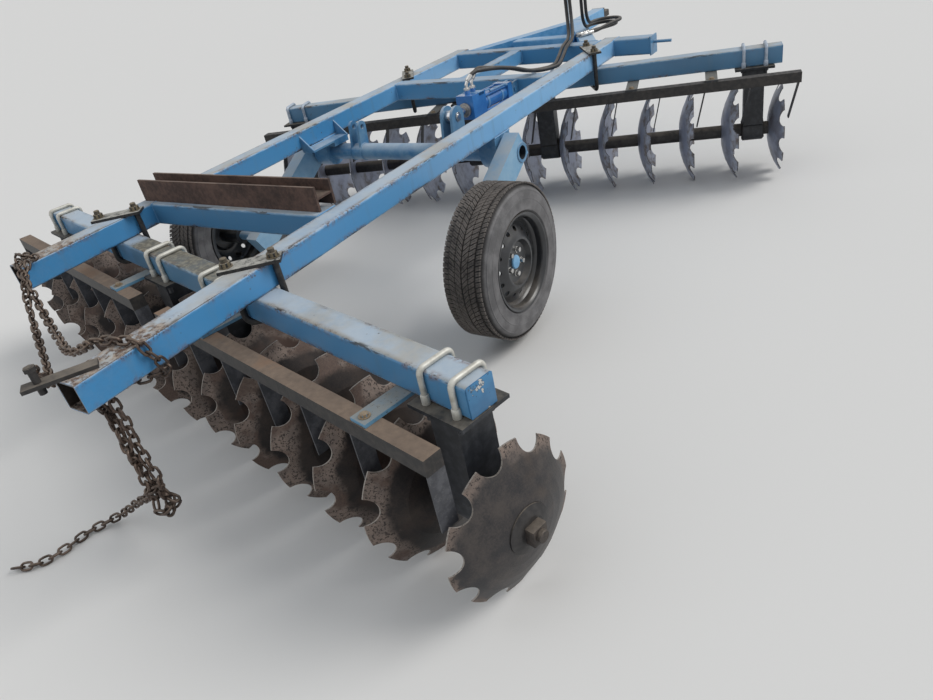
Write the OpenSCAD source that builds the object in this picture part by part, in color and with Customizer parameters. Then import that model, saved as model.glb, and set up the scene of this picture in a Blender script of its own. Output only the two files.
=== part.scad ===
/* [Frame] */
// Distance between the middles of the two long rails
rail_gap = 1150; // [900:10:1400]
// Side of the square tube that rails, cross members and gang beams are made of
tube_w = 100; // [80:5:120]
// Height of the top of the rails above the foot of an outer disc
frame_top = 835; // [780:5:900]
// Length of the right rail
rail_right_len = 3965; // [3500:5:4300]
// Length of the left rail
rail_left_len = 3480; // [3100:5:4000]
// Wall of the square tubes, seen at their open rear ends
tube_wall = 6; // [4:1:10]
// How far the stub at the front reaches past the right rail
stub_len = 236; // [120:1:300]

/* [Gangs] */
// Turn of the rear gang from square, its right end to the rear
rear_yaw = 12.8; // [8:0.1:16]
// Turn of the front gang from square, its right end to the front
front_yaw = 17; // [10:0.1:20]
// Diameter of a disc
disc_d = 570; // [540:2:580]
// Diameter of the disc at each outer end of a gang
outer_disc_d = 510; // [480:2:530]
// Thickness of a disc
disc_t = 5; // [4:0.5:7]
// Radius of the ball that a disc is dished to
disc_ball_r = 490; // [470:1:700]
// Distance from one disc to the next
disc_pitch = 250; // [230:1:270]
// Discs in each half gang
disc_count = 7; // [6:1:7]
// Notches in a disc
notch_count = 10; // [8:1:12]
// Radius of a notch
notch_r = 46; // [36:1:50]
// Radius of the through axle of a gang
axle_r = 20; // [16:1:24]

/* [Transport gear] */
// Outside diameter of a tyre
tyre_d = 700; // [660:5:740]
// Width of a tyre
tyre_w = 210; // [190:5:230]
// Distance from the torque tube to a wheel's spindle
arm_len = 674; // [620:1:720]
// How far the spindle lies below the torque tube as an angle, wheels raised
arm_droop = 24.4; // [20:0.1:26]
// Outside radius of the torque tube
torque_r = 45; // [38:1:52]

/* [Hitch] */
// Distance from the front cross member to where the two legs of the drawbar meet
leg_run = 780; // [650:5:900]
// Length of the tongue in front of that point
tongue_len = 400; // [300:5:600]
// Radius of the hole in the hitch eye
eye_r = 20; // [16:1:26]

/* [Hidden] */
$fn = 48;

// Place of the model's origin, in the middle of the machine
origin_x = 28.4;
origin_y = -1409;

// Heights
rail_z = frame_top - tube_w;
beam_z = rail_z - tube_w;
axis_z = outer_disc_d / 2;
// Heights are counted from the foot of an outer disc, which hangs this far above the floor
foot = (disc_d - outer_disc_d) / 2;

// Running fit of round parts, gap between parts that are clamped together, and gap between parts that
// only lie close
fit = 0.15;
seat = 0.15;
rest_gap = 0.3;

// Places along the machine, forward is positive
rail_front_y = 50;
front_y = -60;
stub_y = 0;
cross_middle_y = -813;
front_gang_y = -472;
torque_y = -1540;
cross_rear_y = -2740;
rear_gang_y = -3066;

// Middle of each gang beam and of its discs along the beam, and the distance from an outer disc to the
// next; discs of the rear bulge to the right and of the front to the left
rear_mid_s = 45;
front_mid_s = 75;
beam_overhang = 1610;
rear_discs = [60, 300];
front_discs = [-9, 268];

module placed() translate([-origin_x, -origin_y, foot]) children();
module on_rear() placed() translate([0, rear_gang_y, 0]) rotate([0, 0, -rear_yaw]) children();
module on_front() placed() translate([0, front_gang_y, 0]) rotate([0, 0, front_yaw]) children();

// A block given by its lowest corner and its highest corner
module block(low, high) translate(low) cube(high - low);

// A round bar, hose or chain through a row of points
module strand(points, r, sides) for (i = [0 : len(points) - 2]) {
    run = points[i + 1] - points[i];
    translate(points[i]) rotate([0, acos(run.z / norm(run)), atan2(run.y, run.x)])
        cylinder(r = r, h = norm(run), $fn = sides);
    if (i > 0) translate(points[i]) sphere(r = r, $fn = sides);
}

// Section of a square tube with rounded edges
tube_edge_r = 10;
module tube_section() offset(r = tube_edge_r) square(tube_w - 2 * tube_edge_r, center = true);
// A square tube along X or along Y, the middle of its section at the height z
module tube_x(y, x1, x2, z) translate([x1, y, z]) rotate([90, 0, 90]) linear_extrude(x2 - x1)
    tube_section();
module tube_y(x, y1, y2, z) translate([x, y2, z]) rotate([90, 0, 0]) linear_extrude(y2 - y1) tube_section();

// A long rail, open at its rear end
rail_x = rail_gap / 2;
rail_mid_z = rail_z + tube_w / 2;
module rail(x, len) placed() difference() {
    tube_y(x, rail_front_y - len, rail_front_y, rail_mid_z);
    translate([x, rail_front_y - tube_w, rail_mid_z]) rotate([90, 0, 0]) linear_extrude(len)
        offset(delta = -tube_wall) tube_section();
}
module rail_right() color("steelblue") rail(rail_x, rail_right_len);
module rail_left() color("steelblue") rail(-rail_x, rail_left_len);

inner_x = rail_x - tube_w / 2;
module cross(y) placed() tube_x(y, -inner_x, inner_x, rail_mid_z);
module cross_rear() color("steelblue") cross(cross_rear_y);
module cross_middle() color("steelblue") cross(cross_middle_y);
module cross_front() color("steelblue") cross(front_y);

// Stub at the right of the right rail, with an end plate and a pin
stub_x = rail_x + tube_w / 2;
stub_plate_t = 8;
stub_plate_rim = 5;
stub_pin_r = 9;
stub_pin_len = 110;
module front_stub() color("steelblue") placed() {
    tube_x(stub_y, stub_x, stub_x + stub_len, rail_mid_z);
    plate_half = tube_w / 2 + stub_plate_rim;
    translate([stub_x + stub_len, stub_y, rail_mid_z]) block([0, -plate_half, -plate_half],
        [stub_plate_t, plate_half, plate_half]);
    translate([stub_x + stub_len, stub_y, rail_mid_z + tube_w * 0.15]) rotate([0, 90, 0])
        cylinder(r = stub_pin_r, h = stub_pin_len + stub_plate_t);
}

centre_x = -45;
centre_w = 80;
module centre_beam() color("steelblue") placed()
    block([centre_x - centre_w / 2, cross_middle_y + tube_w / 2, frame_top - centre_w - 2],
        [centre_x + centre_w / 2, front_y - tube_w / 2, frame_top - 2]);

// Gang beams, under the rails
module gang_beam(mid_s) tube_x(0, mid_s - beam_overhang, mid_s + beam_overhang, beam_z + tube_w / 2);
module gang_beam_rear() color("steelblue") on_rear() gang_beam(rear_mid_s);
module gang_beam_front() color("steelblue") on_front() gang_beam(front_mid_s);

// A clamp where a gang beam crosses a rail: a plate lies over the rail from one blunt corner of the
// crossing to the other, and a bent bar goes through its ends and under the beam. way is 1 where the
// blunt corner at the right is the front one.
clamp_plate_t = 12;
clamp_plate_w = 75;
clamp_plate_rim = 28;
clamp_bar_r = 12;
clamp_bend = 30;
clamp_stud = 32;
module clamp(x, gang_y, yaw, way) {
    // The bar's leg stands clear of the rail's side and of the beam's side
    leg_x = tube_w / 2 + clamp_bar_r + 2;
    leg_y = (tube_w / 2 + clamp_bar_r + 2) / cos(yaw) + leg_x * tan(yaw) * -way;
    reach = ceil(norm([leg_x, leg_y]));
    low_z = beam_z - clamp_bar_r - rest_gap;
    translate([x, gang_y, 0]) rotate([0, 0, round(way * atan2(leg_y, leg_x))]) {
        block([-reach - clamp_plate_rim, -clamp_plate_w / 2, frame_top],
            [reach + clamp_plate_rim, clamp_plate_w / 2, frame_top + clamp_plate_t]);
        for (end = [-1, 1]) {
            translate([end * reach, 0, low_z + clamp_bend])
                cylinder(r = clamp_bar_r, h = frame_top + clamp_plate_t + clamp_stud - low_z - clamp_bend);
            translate([end * reach, 0, frame_top + clamp_plate_t]) cylinder(r = 20, h = 18, $fn = 6);
            translate([end * (reach - clamp_bend), 0, low_z + clamp_bend]) rotate([90, 0, 0])
                rotate_extrude(angle = 90, start = end > 0 ? 270 : 180) translate([clamp_bend, 0])
                    circle(r = clamp_bar_r);
        }
        translate([clamp_bend - reach, 0, low_z]) rotate([0, 90, 0])
            cylinder(r = clamp_bar_r, h = 2 * (reach - clamp_bend));
    }
}
module clamps_rear() color("dimgray") placed() for (x = [-rail_x, rail_x])
    clamp(x, rear_gang_y - x * tan(rear_yaw), rear_yaw, 1);
module clamps_front() color("dimgray") placed() for (x = [-rail_x, rail_x])
    clamp(x, front_gang_y + x * tan(front_yaw), front_yaw, -1);

// Standards that hold the gang bearings; each is a plate under the beam, a post and a bearing, held by
// two bolts bent square over the beam
// Each row: place along a beam in disc pitches from its middle, and how far the post stands beside the
// middle of its plate
standard_rear_right = [[6, 0], [1, -30]];
standard_rear_left = [[-1, -30], [-6, -35]];
standard_front_right = [[6, 0], [1, 0]];
standard_front_left = [[-1, 0], [-6, 0]];
plate_l = 215;
plate_w = 180;
plate_t = 12;
post_l = 110;
post_w = 130;
ubolt_r = 9;
ubolt_spread = 60;
ubolt_end = 40;
bearing_r = 62;
spool_r = 38;
module ubolt() {
    half = tube_w / 2 + ubolt_r + rest_gap;
    bend = 2 * ubolt_r;
    top = rail_z + ubolt_r + rest_gap;
    foot = beam_z - plate_t - ubolt_end;
    for (side = [-1, 1]) {
        translate([0, side * half, foot]) {
            cylinder(r = ubolt_r, h = top - bend - foot);
            translate([0, 0, ubolt_end - 15]) cylinder(r = 15, h = 15, $fn = 6);
        }
        translate([0, side * (half - bend), top - bend]) rotate([90, 0, 90])
            rotate_extrude(angle = 90, start = side > 0 ? 0 : 90) translate([bend, 0]) circle(r = ubolt_r);
    }
    translate([0, half - bend, top]) rotate([90, 0, 0]) cylinder(r = ubolt_r, h = 2 * (half - bend));
}
module standard(s, post) translate([s, 0, 0]) difference() {
    union() {
        block([-plate_l / 2, -plate_w / 2, beam_z - plate_t], [plate_l / 2, plate_w / 2, beam_z]);
        block([post - post_l / 2, -post_w / 2, axis_z + bearing_r * 0.7],
            [post + post_l / 2, post_w / 2, beam_z - plate_t]);
        translate([post - post_l / 2, 0, axis_z]) rotate([0, 90, 0]) cylinder(r = post_w / 2, h = post_l);
        for (side = [-1, 1]) translate([side * ubolt_spread, 0, 0]) ubolt();
    }
    translate([post - post_l / 2 - 1, 0, axis_z]) rotate([0, 90, 0])
        cylinder(r = spool_r + fit, h = post_l + 2);
}
rear_standard_shift = 10;
front_standard_shift = -35;
module standards_rear(places) color("#26282a") on_rear() for (p = places)
    standard(rear_mid_s + rear_standard_shift + p[0] * disc_pitch, p[1]);
module standards_front(places) color("#26282a") on_front() for (p = places)
    standard(front_mid_s + front_standard_shift + p[0] * disc_pitch, p[1]);
module standards_rear_right() standards_rear(standard_rear_right);
module standards_rear_left() standards_rear(standard_rear_left);
module standards_front_right() standards_front(standard_front_right);
module standards_front_left() standards_front(standard_front_left);

// Disc n of a half gang is counted from the outer end; side is 1 at the right and -1 at the left, and
// bulge is 1 where the discs bulge to the right
function disc_r(n) = (n == 0 ? outer_disc_d : disc_d) / 2;
function hub_s(row, side, n) = row[0] + side * (n == 0 ? (disc_count - 1.5) * disc_pitch + row[1] :
    (disc_count - 0.5 - n) * disc_pitch);

// One disc of the radius r: its rim plane at zero, its middle towards positive Z
hub_flat_r = 80;
function ball_depth(r) = sqrt(pow(disc_ball_r, 2) - pow(r, 2));
function dish(r) = ball_depth(hub_flat_r) - ball_depth(r);
function rim_s(row, side, bulge, n) = hub_s(row, side, n) - bulge * dish(disc_r(n));
module disc(r, phase) difference() {
    rings = [hub_flat_r, 120, 165, r - notch_r - 4, r];
    last = len(rings) - 1;
    rotate_extrude() polygon([
        [axle_r + fit, dish(r)], for (ring = rings) [ring, dish(r) - dish(ring)],
        for (i = [last : -1 : 0]) [rings[i], dish(r) - dish(rings[i]) + disc_t],
        [axle_r + fit, dish(r) + disc_t]]);
    for (i = [0 : notch_count - 1]) rotate([0, 0, (i + phase) * 360 / notch_count])
        translate([r + 2, 0, -1]) cylinder(r = notch_r, h = dish(r));
}
// How far the notches of each disc are turned, as a share of the distance between two notches
phases = [0.25, 0.12, 0.6, 0.35, 0.8, 0.15, 0.5];
module discs(row, side, bulge) for (n = [0 : disc_count - 1])
    translate([rim_s(row, side, bulge, n), 0, axis_z]) rotate([0, bulge * 90, 0]) disc(disc_r(n), phases[n]);
module discs_rear_right() color("#5b5048") on_rear() discs(rear_discs, 1, 1);
module discs_rear_left() color("#5b5048") on_rear() discs(rear_discs, -1, 1);
module discs_front_right() color("#6b6660") on_front() discs(front_discs, 1, -1);
module discs_front_left() color("#6b6660") on_front() discs(front_discs, -1, -1);

// Axle of a half gang: a bolt through the discs, with spools between them and a washer and nut at each end
washer_r = 78;
washer_t = 14;
washer_edge_t = 4;
nut_w = 55;
nut_t = 30;
bolt_end = 12;
module gang_axle(row, side, bulge) {
    // Where each disc starts, from the left to the right
    starts = [for (k = [0 : disc_count - 1]) hub_s(row, side, side > 0 ? disc_count - 1 - k : k) -
        (bulge > 0 ? 0 : disc_t)];
    span = starts[disc_count - 1] - starts[0] + disc_t;
    // The washers' profile from the disc outwards: radius, distance from the disc
    washer = [[washer_r, seat], [washer_r, washer_edge_t], [washer_r * 0.6, washer_t],
        [axle_r, washer_t], [axle_r, washer_t + nut_t + bolt_end]];
    translate([starts[0], 0, axis_z]) rotate([0, 90, 0]) {
        rotate_extrude() polygon([
            [0, -washer[4][1]], for (i = [4 : -1 : 0]) [washer[i][0], -washer[i][1]], [axle_r, -seat],
            for (k = [0 : disc_count - 2]) for (p = [[axle_r, starts[k] + disc_t + seat],
                [spool_r, starts[k] + disc_t + seat], [spool_r, starts[k + 1] - seat],
                [axle_r, starts[k + 1] - seat]]) [p[0], p[1] - starts[0]],
            [axle_r, span + seat], for (p = washer) [p[0], span + p[1]], [0, span + washer[4][1]]]);
        for (z = [-washer_t - nut_t, span + washer_t]) translate([-nut_w / 2, -nut_w / 2, z])
            cube([nut_w, nut_w, nut_t]);
    }
}
module axle_rear_right() color("#3c3a38") on_rear() gang_axle(rear_discs, 1, 1);
module axle_rear_left() color("#3c3a38") on_rear() gang_axle(rear_discs, -1, 1);
module axle_front_right() color("#3c3a38") on_front() gang_axle(front_discs, 1, -1);
module axle_front_left() color("#3c3a38") on_front() gang_axle(front_discs, -1, -1);

// A scraper bar behind a half gang, on two flat straps from under the gang beam, with a scraper for
// each disc.
// Each row: distance behind the axis, strap width, scraper width, and how far a scraper's top and foot
// lie from the rim plane
bar_w = 60;
bar_t = 55;
rear_row = [190, 66, 60, 22, 22];
front_row = [222, 66, 45, 62, 16];
// Places of the straps along the gang, clear of the standards' plates and of the clamps
rear_straps = [[1385, 447], [-340, -1150]];
front_straps = [[1300, 850], [-400, -1150]];
scraper_t = 6;
scraper_drop = 250;
strap_bolt_r = 12;
module scraper_bar(discs, side, bulge, row, straps) {
    back = row[0];
    outer = rim_s(discs, side, bulge, 0);
    inner = rim_s(discs, side, bulge, disc_count - 1);
    low = min(outer, inner) - bulge * row[3] - scraper_t / 2 - (bulge > 0 ? 0 : 120);
    high = max(outer, inner) - bulge * row[3] + scraper_t / 2 + (bulge > 0 ? 0 : 8);
    bar_top = beam_z - plate_t;
    block([low, -back - bar_w / 2, bar_top - bar_t], [high, -back + bar_w / 2, bar_top]);
    for (at = straps) translate([at, 0, 0]) {
        block([-row[1] / 2, -back - bar_w / 2 + 4, bar_top], [row[1] / 2, tube_w / 2, beam_z]);
        translate([0, -back, beam_z]) cylinder(r = strap_bolt_r, h = 10, $fn = 6);
    }
    for (n = [0 : disc_count - 1]) translate([rim_s(discs, side, bulge, n), -back + row[2] / 2, 0])
        rotate([90, 0, 0]) linear_extrude(row[2])
        polygon([for (p = [[row[3], bar_top - bar_t + 1, 1], [row[4], bar_top - scraper_drop, 1],
            [row[4], bar_top - scraper_drop, -1],
            [row[3], bar_top - bar_t + 1, -1]]) [-bulge * p[0] + p[2] * scraper_t / 2, p[1]]]);
}
module scraper_bar_rear_right() color("#6e5643") on_rear()
    scraper_bar(rear_discs, 1, 1, rear_row, rear_straps[0]);
module scraper_bar_rear_left() color("#6e5643") on_rear()
    scraper_bar(rear_discs, -1, 1, rear_row, rear_straps[1]);
module scraper_bar_front_right() color("#2a2a2a") on_front()
    scraper_bar(front_discs, 1, -1, front_row, front_straps[0]);
module scraper_bar_front_left() color("#2a2a2a") on_front()
    scraper_bar(front_discs, -1, -1, front_row, front_straps[1]);

// Drawbar: two legs that meet, a cross piece between them, a tongue and the eye
leg_root_x = 437;
leg_root_y = front_y + tube_w / 2;
leg_w = 100;
apex_y = leg_root_y + leg_run;
leg_turn = atan2(leg_root_x, leg_run);
leg_half = leg_w / 2 / cos(leg_turn);
leg_tip_y = apex_y + leg_half / tan(leg_turn);
module drawbar_legs() color("steelblue") placed() translate([0, 0, rail_z]) linear_extrude(tube_w) polygon([
    [leg_root_x - leg_half, leg_root_y], [leg_root_x + leg_half, leg_root_y],
    [leg_w / 2, leg_tip_y - leg_w / 2 / tan(leg_turn)],
    [-leg_w / 2, leg_tip_y - leg_w / 2 / tan(leg_turn)],
    [-leg_root_x - leg_half, leg_root_y], [-leg_root_x + leg_half, leg_root_y],
    [0, apex_y - leg_half / tan(leg_turn)]]);
cross_piece_y = 220;
cross_piece_x = leg_root_x * (apex_y - cross_piece_y - tube_w / 2) / leg_run - leg_half;
module drawbar_cross() color("steelblue") placed()
    tube_x(cross_piece_y, -cross_piece_x, cross_piece_x, rail_mid_z);
tongue_y = leg_tip_y - leg_w / 2 / tan(leg_turn) + seat;
module tongue() color("steelblue") placed() tube_y(0, tongue_y, tongue_y + tongue_len, rail_mid_z);
eye_t = 40;
eye_ring_r = 50;
eye_shank = 90;
eye_y = tongue_y + tongue_len + eye_shank;
module hitch_eye() color("dimgray") placed() difference() {
    union() {
        block([-eye_ring_r, tongue_y + tongue_len, rail_mid_z - eye_ring_r],
            [eye_ring_r, tongue_y + tongue_len + 15, rail_mid_z + eye_ring_r]);
        block([-eye_ring_r, tongue_y + tongue_len + 15, rail_mid_z - eye_t / 2],
            [eye_ring_r, eye_y, rail_mid_z + eye_t / 2]);
        translate([0, eye_y, rail_mid_z - eye_t / 2]) cylinder(r = eye_ring_r, h = eye_t);
    }
    translate([0, eye_y, rail_mid_z - eye_t / 2 - 1]) cylinder(r = eye_r, h = eye_t + 2);
}

// Brackets under the rails that carry the torque tube, each with a flange and two gussets at the
// rail's inner side
torque_z = rail_z - 93;
bracket_half = 75;
flange_reach = 82;
flange_t = 10;
flange_z = rail_z - 15;
flange_back = -1790;
flange_front = -1490;
gusset_t = 8;
gusset_h = 80;
module lift_bracket(side) placed() difference() {
    union() {
        block([side * rail_x - tube_w / 2, torque_y - bracket_half, torque_z],
            [side * rail_x + tube_w / 2, torque_y + bracket_half, rail_z]);
        translate([side * rail_x - tube_w / 2, torque_y, torque_z]) rotate([0, 90, 0])
            cylinder(r = bracket_half, h = tube_w);
        inner = [side * inner_x, side * (inner_x - flange_reach)];
        block([min(inner), flange_back, flange_z], [max(inner), flange_front, flange_z + flange_t]);
        // Joins the flange to the bearing
        block([min(inner), torque_y - bracket_half, torque_z + torque_r + 8],
            [max(inner), torque_y + bracket_half * 0.6, flange_z]);
        for (y = [flange_back + gusset_t, flange_front]) translate([0, y, 0]) rotate([90, 0, 0])
            linear_extrude(gusset_t) polygon([[inner[0], flange_z + flange_t - 1],
                [inner[1], flange_z + flange_t - 1], [inner[0], flange_z + flange_t + gusset_h]]);
    }
    translate([side * rail_x - tube_w, torque_y, torque_z]) rotate([0, 90, 0])
        cylinder(r = torque_r + fit, h = 2 * tube_w);
}
module lift_bracket_right() color("steelblue") lift_bracket(1);
module lift_bracket_left() color("steelblue") lift_bracket(-1);

// Torque tube with the lever of the lift cylinder, and a like pair of lugs at the left
cylinder_x = 330;
lever_y = torque_y + 20;
lever_z = torque_z + 178;
lever_t = 15;
lever_gap = 46;
eye_w = 40;
pin_r = 14;
pin_slack = 5;
lug_hole_z = torque_z + 136;
lug_r = 32;
arm_w = 80;
arm_x = rail_x + tube_w / 2 + 20;
tube_half = arm_x + arm_w + 4;
torque_wall = 11;
tube_recess = 60;
// Outline of a lever in the Y-Z plane; hole is the place of its hole
module lever_outline(hole, r, foot) difference() {
    union() {
        translate(hole) circle(r = r);
        polygon([[torque_y - foot, torque_z], [torque_y + foot, torque_z], [hole.x + r, hole.y],
            [hole.x - r, hole.y]]);
    }
    translate([torque_y, torque_z]) circle(r = torque_r - 1);
}
module torque_tube() color("steelblue") placed() {
    difference() {
        translate([-tube_half, torque_y, torque_z]) rotate([0, 90, 0])
            cylinder(r = torque_r, h = 2 * tube_half);
        for (side = [-1, 1]) translate([side * (tube_half - tube_recess / 2), torque_y, torque_z])
            rotate([0, 90, 0])
            cylinder(r = torque_r - torque_wall, h = tube_recess + 1, center = true);
    }
    // Each row: middle of the pair, hole, outside radius, half width at the foot, radius of the hole
    for (pair = [[cylinder_x, [lever_y, lever_z], 55, 62, pin_r + pin_slack],
        [-cylinder_x, [lever_y, lug_hole_z], lug_r, 38, pin_r]])
        for (side = [-1, 1]) translate([pair[0] + side * (lever_gap + lever_t) / 2, 0, 0]) difference() {
            translate([-lever_t / 2, 0, 0]) rotate([90, 0, 90]) linear_extrude(lever_t)
                lever_outline(pair[1], pair[2], pair[3]);
            translate([-lever_t / 2 - 1, pair[1].x, pair[1].y]) rotate([0, 90, 0])
                cylinder(r = pair[4], h = lever_t + 2);
        }
}

// A wheel arm with its spindle; side is 1 at the right
arm_tilt = 29;
arm_low = -50;
arm_high = 90;
arm_back = -720;
arm_front = 45;
spindle_r = 25;
wheel_face_x = 1018;
axle_y = torque_y - arm_len * cos(arm_droop);
axle_z = torque_z - arm_len * sin(arm_droop);
module wheel_arm(side) placed() {
    x1 = side > 0 ? arm_x : -arm_x - arm_w;
    translate([0, torque_y, torque_z]) difference() {
        rotate([arm_tilt, 0, 0]) block([x1, arm_back, arm_low], [x1 + arm_w, arm_front, arm_high]);
        translate([x1 - 1, 0, 0]) rotate([0, 90, 0]) cylinder(r = torque_r + fit, h = arm_w + 2);
    }
    translate([side * (arm_x + arm_w - 5), axle_y, axle_z]) rotate([0, side * 90, 0])
        cylinder(r = spindle_r, h = wheel_face_x - arm_x - arm_w - 55);
}
module wheel_arm_right() color("steelblue") wheel_arm(1);
module wheel_arm_left() color("steelblue") wheel_arm(-1);

// A wheel lies with its outer face at zero, its inside towards negative Z
hub_r = 48;
rim_r = 221;
seat_r = 203;
rim_t = 4;
vent_count = 15;
vent_r = 12;
vent_place_r = 152;
stud_count = 5;
stud_place_r = 56;
module on_wheel(side) placed() translate([side * wheel_face_x, axle_y, axle_z])
    rotate([0, side * 90, 0]) children();
module rim(side) on_wheel(side) difference() {
    union() {
        rotate_extrude() polygon([
            [rim_r, 0], [rim_r, -8], [seat_r, -16], [seat_r, 16 - tyre_w], [rim_r, 8 - tyre_w],
            [rim_r, -tyre_w],
            [seat_r - rim_t, -tyre_w], [seat_r - rim_t, -130], [seat_r - 22, -108], [122, -86],
                [85, -98], [hub_r, -98],
            [hub_r, 10 - tyre_w], [spindle_r + fit, 10 - tyre_w], [spindle_r + fit, -55], [0, -55],
            [0, -40], [30, -40], [hub_r - 10, -50], [hub_r - 10, -90], [85, -90], [120, -78],
            [seat_r - 20, -100], [seat_r - rim_t, -115], [seat_r - rim_t, 0]]);
        for (i = [0 : stud_count - 1]) rotate([0, 0, i * 360 / stud_count])
            translate([stud_place_r, 0, -91]) cylinder(r = 11, h = 20, $fn = 6);
    }
    for (i = [0 : vent_count - 1]) rotate([0, 0, i * 360 / vent_count])
        translate([vent_place_r, 0, -130]) cylinder(r = vent_r, h = 60);
}
module rim_right() color("#1d1e20") rim(1);
module rim_left() color("#1d1e20") rim(-1);
tyre_r = tyre_d / 2;
module tyre(side) on_wheel(side) rotate_extrude($fn = 96) polygon([
    [seat_r, -16], [rim_r + 1, -8], [rim_r + 8, 0], [tyre_r - 65, 4], [tyre_r - 30, -4],
        [tyre_r - 10, -14], [tyre_r - 3, -30],
    [tyre_r, -tyre_w / 2 + 30], [tyre_r, -tyre_w / 2 - 30], [tyre_r - 3, 30 - tyre_w],
        [tyre_r - 10, 14 - tyre_w], [tyre_r - 30, 4 - tyre_w],
    [tyre_r - 65, -4 - tyre_w], [rim_r + 8, -tyre_w], [rim_r + 1, 8 - tyre_w], [seat_r, 16 - tyre_w]]);
module tyre_right() color("#2c2a29") tyre(1);
module tyre_left() color("#2c2a29") tyre(-1);

// Lift cylinder: from the anchor on the middle cross member to the lever
anchor_y = cross_middle_y - tube_w / 2 - 42;
anchor_z = rail_z + 55;
anchor_r = 38;
pin_span = norm([anchor_y - lever_y, anchor_z - lever_z]);
cylinder_tilt = atan2(lever_z - anchor_z, anchor_y - lever_y);
// Local axes of the cylinder: its anchor pin at zero, X towards the lever
module on_cylinder() placed() translate([cylinder_x, anchor_y, anchor_z]) rotate([-cylinder_tilt, 0, 0])
    rotate([0, 0, -90]) children();
function cylinder_point(x, z) = [cylinder_x, anchor_y - x * cos(cylinder_tilt) + z * sin(cylinder_tilt),
    anchor_z + x * sin(cylinder_tilt) + z * cos(cylinder_tilt)];
module cylinder_anchor() color("steelblue") placed() {
    for (side = [-1, 1]) translate([cylinder_x + side * (lever_gap + lever_t) / 2 - lever_t / 2, 0, 0]) {
        block([0, anchor_y, anchor_z - anchor_r],
            [lever_t, cross_middle_y - tube_w / 2, anchor_z + anchor_r]);
        translate([0, anchor_y, anchor_z]) rotate([0, 90, 0]) cylinder(r = anchor_r, h = lever_t);
    }
    anchor_pin = lever_gap + 2 * lever_t + 12;
    translate([cylinder_x - anchor_pin / 2, anchor_y, anchor_z]) rotate([0, 90, 0])
        cylinder(r = pin_r, h = anchor_pin);
}
barrel_r = 44;
rod_r = 20;
cap_x = [52, 98];
cap_half = 50;
head_x = [345, 478];
head_half = 52;
tie_r = 8;
tie_place = 40;
port_place = [385, 440];
port_r = 15;
port_top = 92;
module cylinder_barrel() color("#1d4fa3") on_cylinder() difference() {
    union() {
        translate([0, eye_w / 2, 0]) rotate([90, 0, 0]) cylinder(r = 30, h = eye_w);
        block([0, -eye_w / 2, -26], [cap_x[0] + 1, eye_w / 2, 26]);
        block([cap_x[0], -cap_half, -cap_half], [cap_x[1], cap_half, cap_half]);
        translate([cap_x[1] - 1, 0, 0]) rotate([0, 90, 0])
            cylinder(r = barrel_r, h = head_x[0] - cap_x[1] + 2);
        block([head_x[0], -head_half, -head_half], [head_x[1], head_half, head_half + 18]);
        for (y = [-tie_place, tie_place]) for (z = [-tie_place, tie_place])
            translate([cap_x[0] - 10, y, z]) rotate([0, 90, 0])
            cylinder(r = tie_r, h = head_x[0] - cap_x[0] + 12);
        for (x = port_place) translate([x, 0, head_half + 10])
            cylinder(r = port_r, h = port_top - head_half - 10);
        translate([head_x[1] - 1, 0, 0]) rotate([0, 90, 0]) cylinder(r = rod_r + 10, h = 16);
    }
    translate([0, eye_w / 2 + 1, 0]) rotate([90, 0, 0]) cylinder(r = pin_r + fit, h = eye_w + 2);
    translate([cap_x[1] + 5, 0, 0]) rotate([0, 90, 0]) cylinder(r = rod_r + fit, h = head_x[1]);
}
rod_in = 300;
rod_eye_r = 34;
rod_collar = 72;
module cylinder_rod() color("silver") on_cylinder() {
    translate([pin_span - rod_in, 0, 0]) rotate([0, 90, 0]) cylinder(r = rod_r, h = rod_in - 10);
    translate([pin_span - rod_collar, 0, 0]) rotate([0, 90, 0]) cylinder(r = rod_r + 2, h = 40);
    translate([pin_span, eye_w / 2, 0]) rotate([90, 0, 0]) cylinder(r = rod_eye_r, h = eye_w);
    rod_pin = lever_gap + 2 * lever_t + 20;
    translate([pin_span, rod_pin / 2, 0]) rotate([90, 0, 0]) cylinder(r = pin_r, h = rod_pin);
}

// Stand for the hose ends on the drawbar's cross piece, with a bar that the hoses hang over
stand_r = 8;
stand_x = [200, 320];
stand_y = cross_piece_y;
stand_top = 1235;
module hose_stand() color("steelblue") placed() strand([
    [stand_x[0], stand_y, frame_top], [stand_x[0], stand_y, stand_top],
    [stand_x[1], stand_y, stand_top], [stand_x[1], stand_y, stand_top + 30]], stand_r, 12);

// Two hoses from the cylinder along the frame, over the stand and down to their couplers on the drawbar.
// Each row: x, y, z of a bend; the outer hose runs beside the inner one
hose_r = 11;
coupler_r = 14;
coupler_l = 70;
over_stand = stand_top + stand_r + hose_r + rest_gap;
on_frame = frame_top + coupler_r + rest_gap;
hose_way = [
    [334, -1262, 968], [352, -1130, 962], [385, -930, 905], [408, -770, 852], [425, -600, 822],
    [400, -430, 806], [335, -180, 848], [300, -40, 852], [262, 70, 885], [232, 165, 985],
    [226, 190, 1130], [236, stand_y - 30, stand_top + 5],
    [243, stand_y - 8, over_stand], [249, stand_y + 20, over_stand], [262, stand_y + 48, stand_top + 5],
    [322, 345, 1140], [372, 400, 1010], [424, 410, 905], [415, 350, 858],
    [372, 262, on_frame], [330, 190, on_frame]];
hose_step = [34, -10, 0];
hose_rise = 45;
function hose_port(i, rise) = cylinder_point(port_place[i], port_top + rest_gap + rise);
function hose_route(i) = concat([hose_port(i, 0), hose_port(i, hose_rise)],
    [for (p = hose_way) p + i * hose_step]);
module hose_inner() color("#202020") placed() strand(hose_route(0), hose_r, 10);
module hose_outer() color("#202020") placed() strand(hose_route(1), hose_r, 10);
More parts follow.
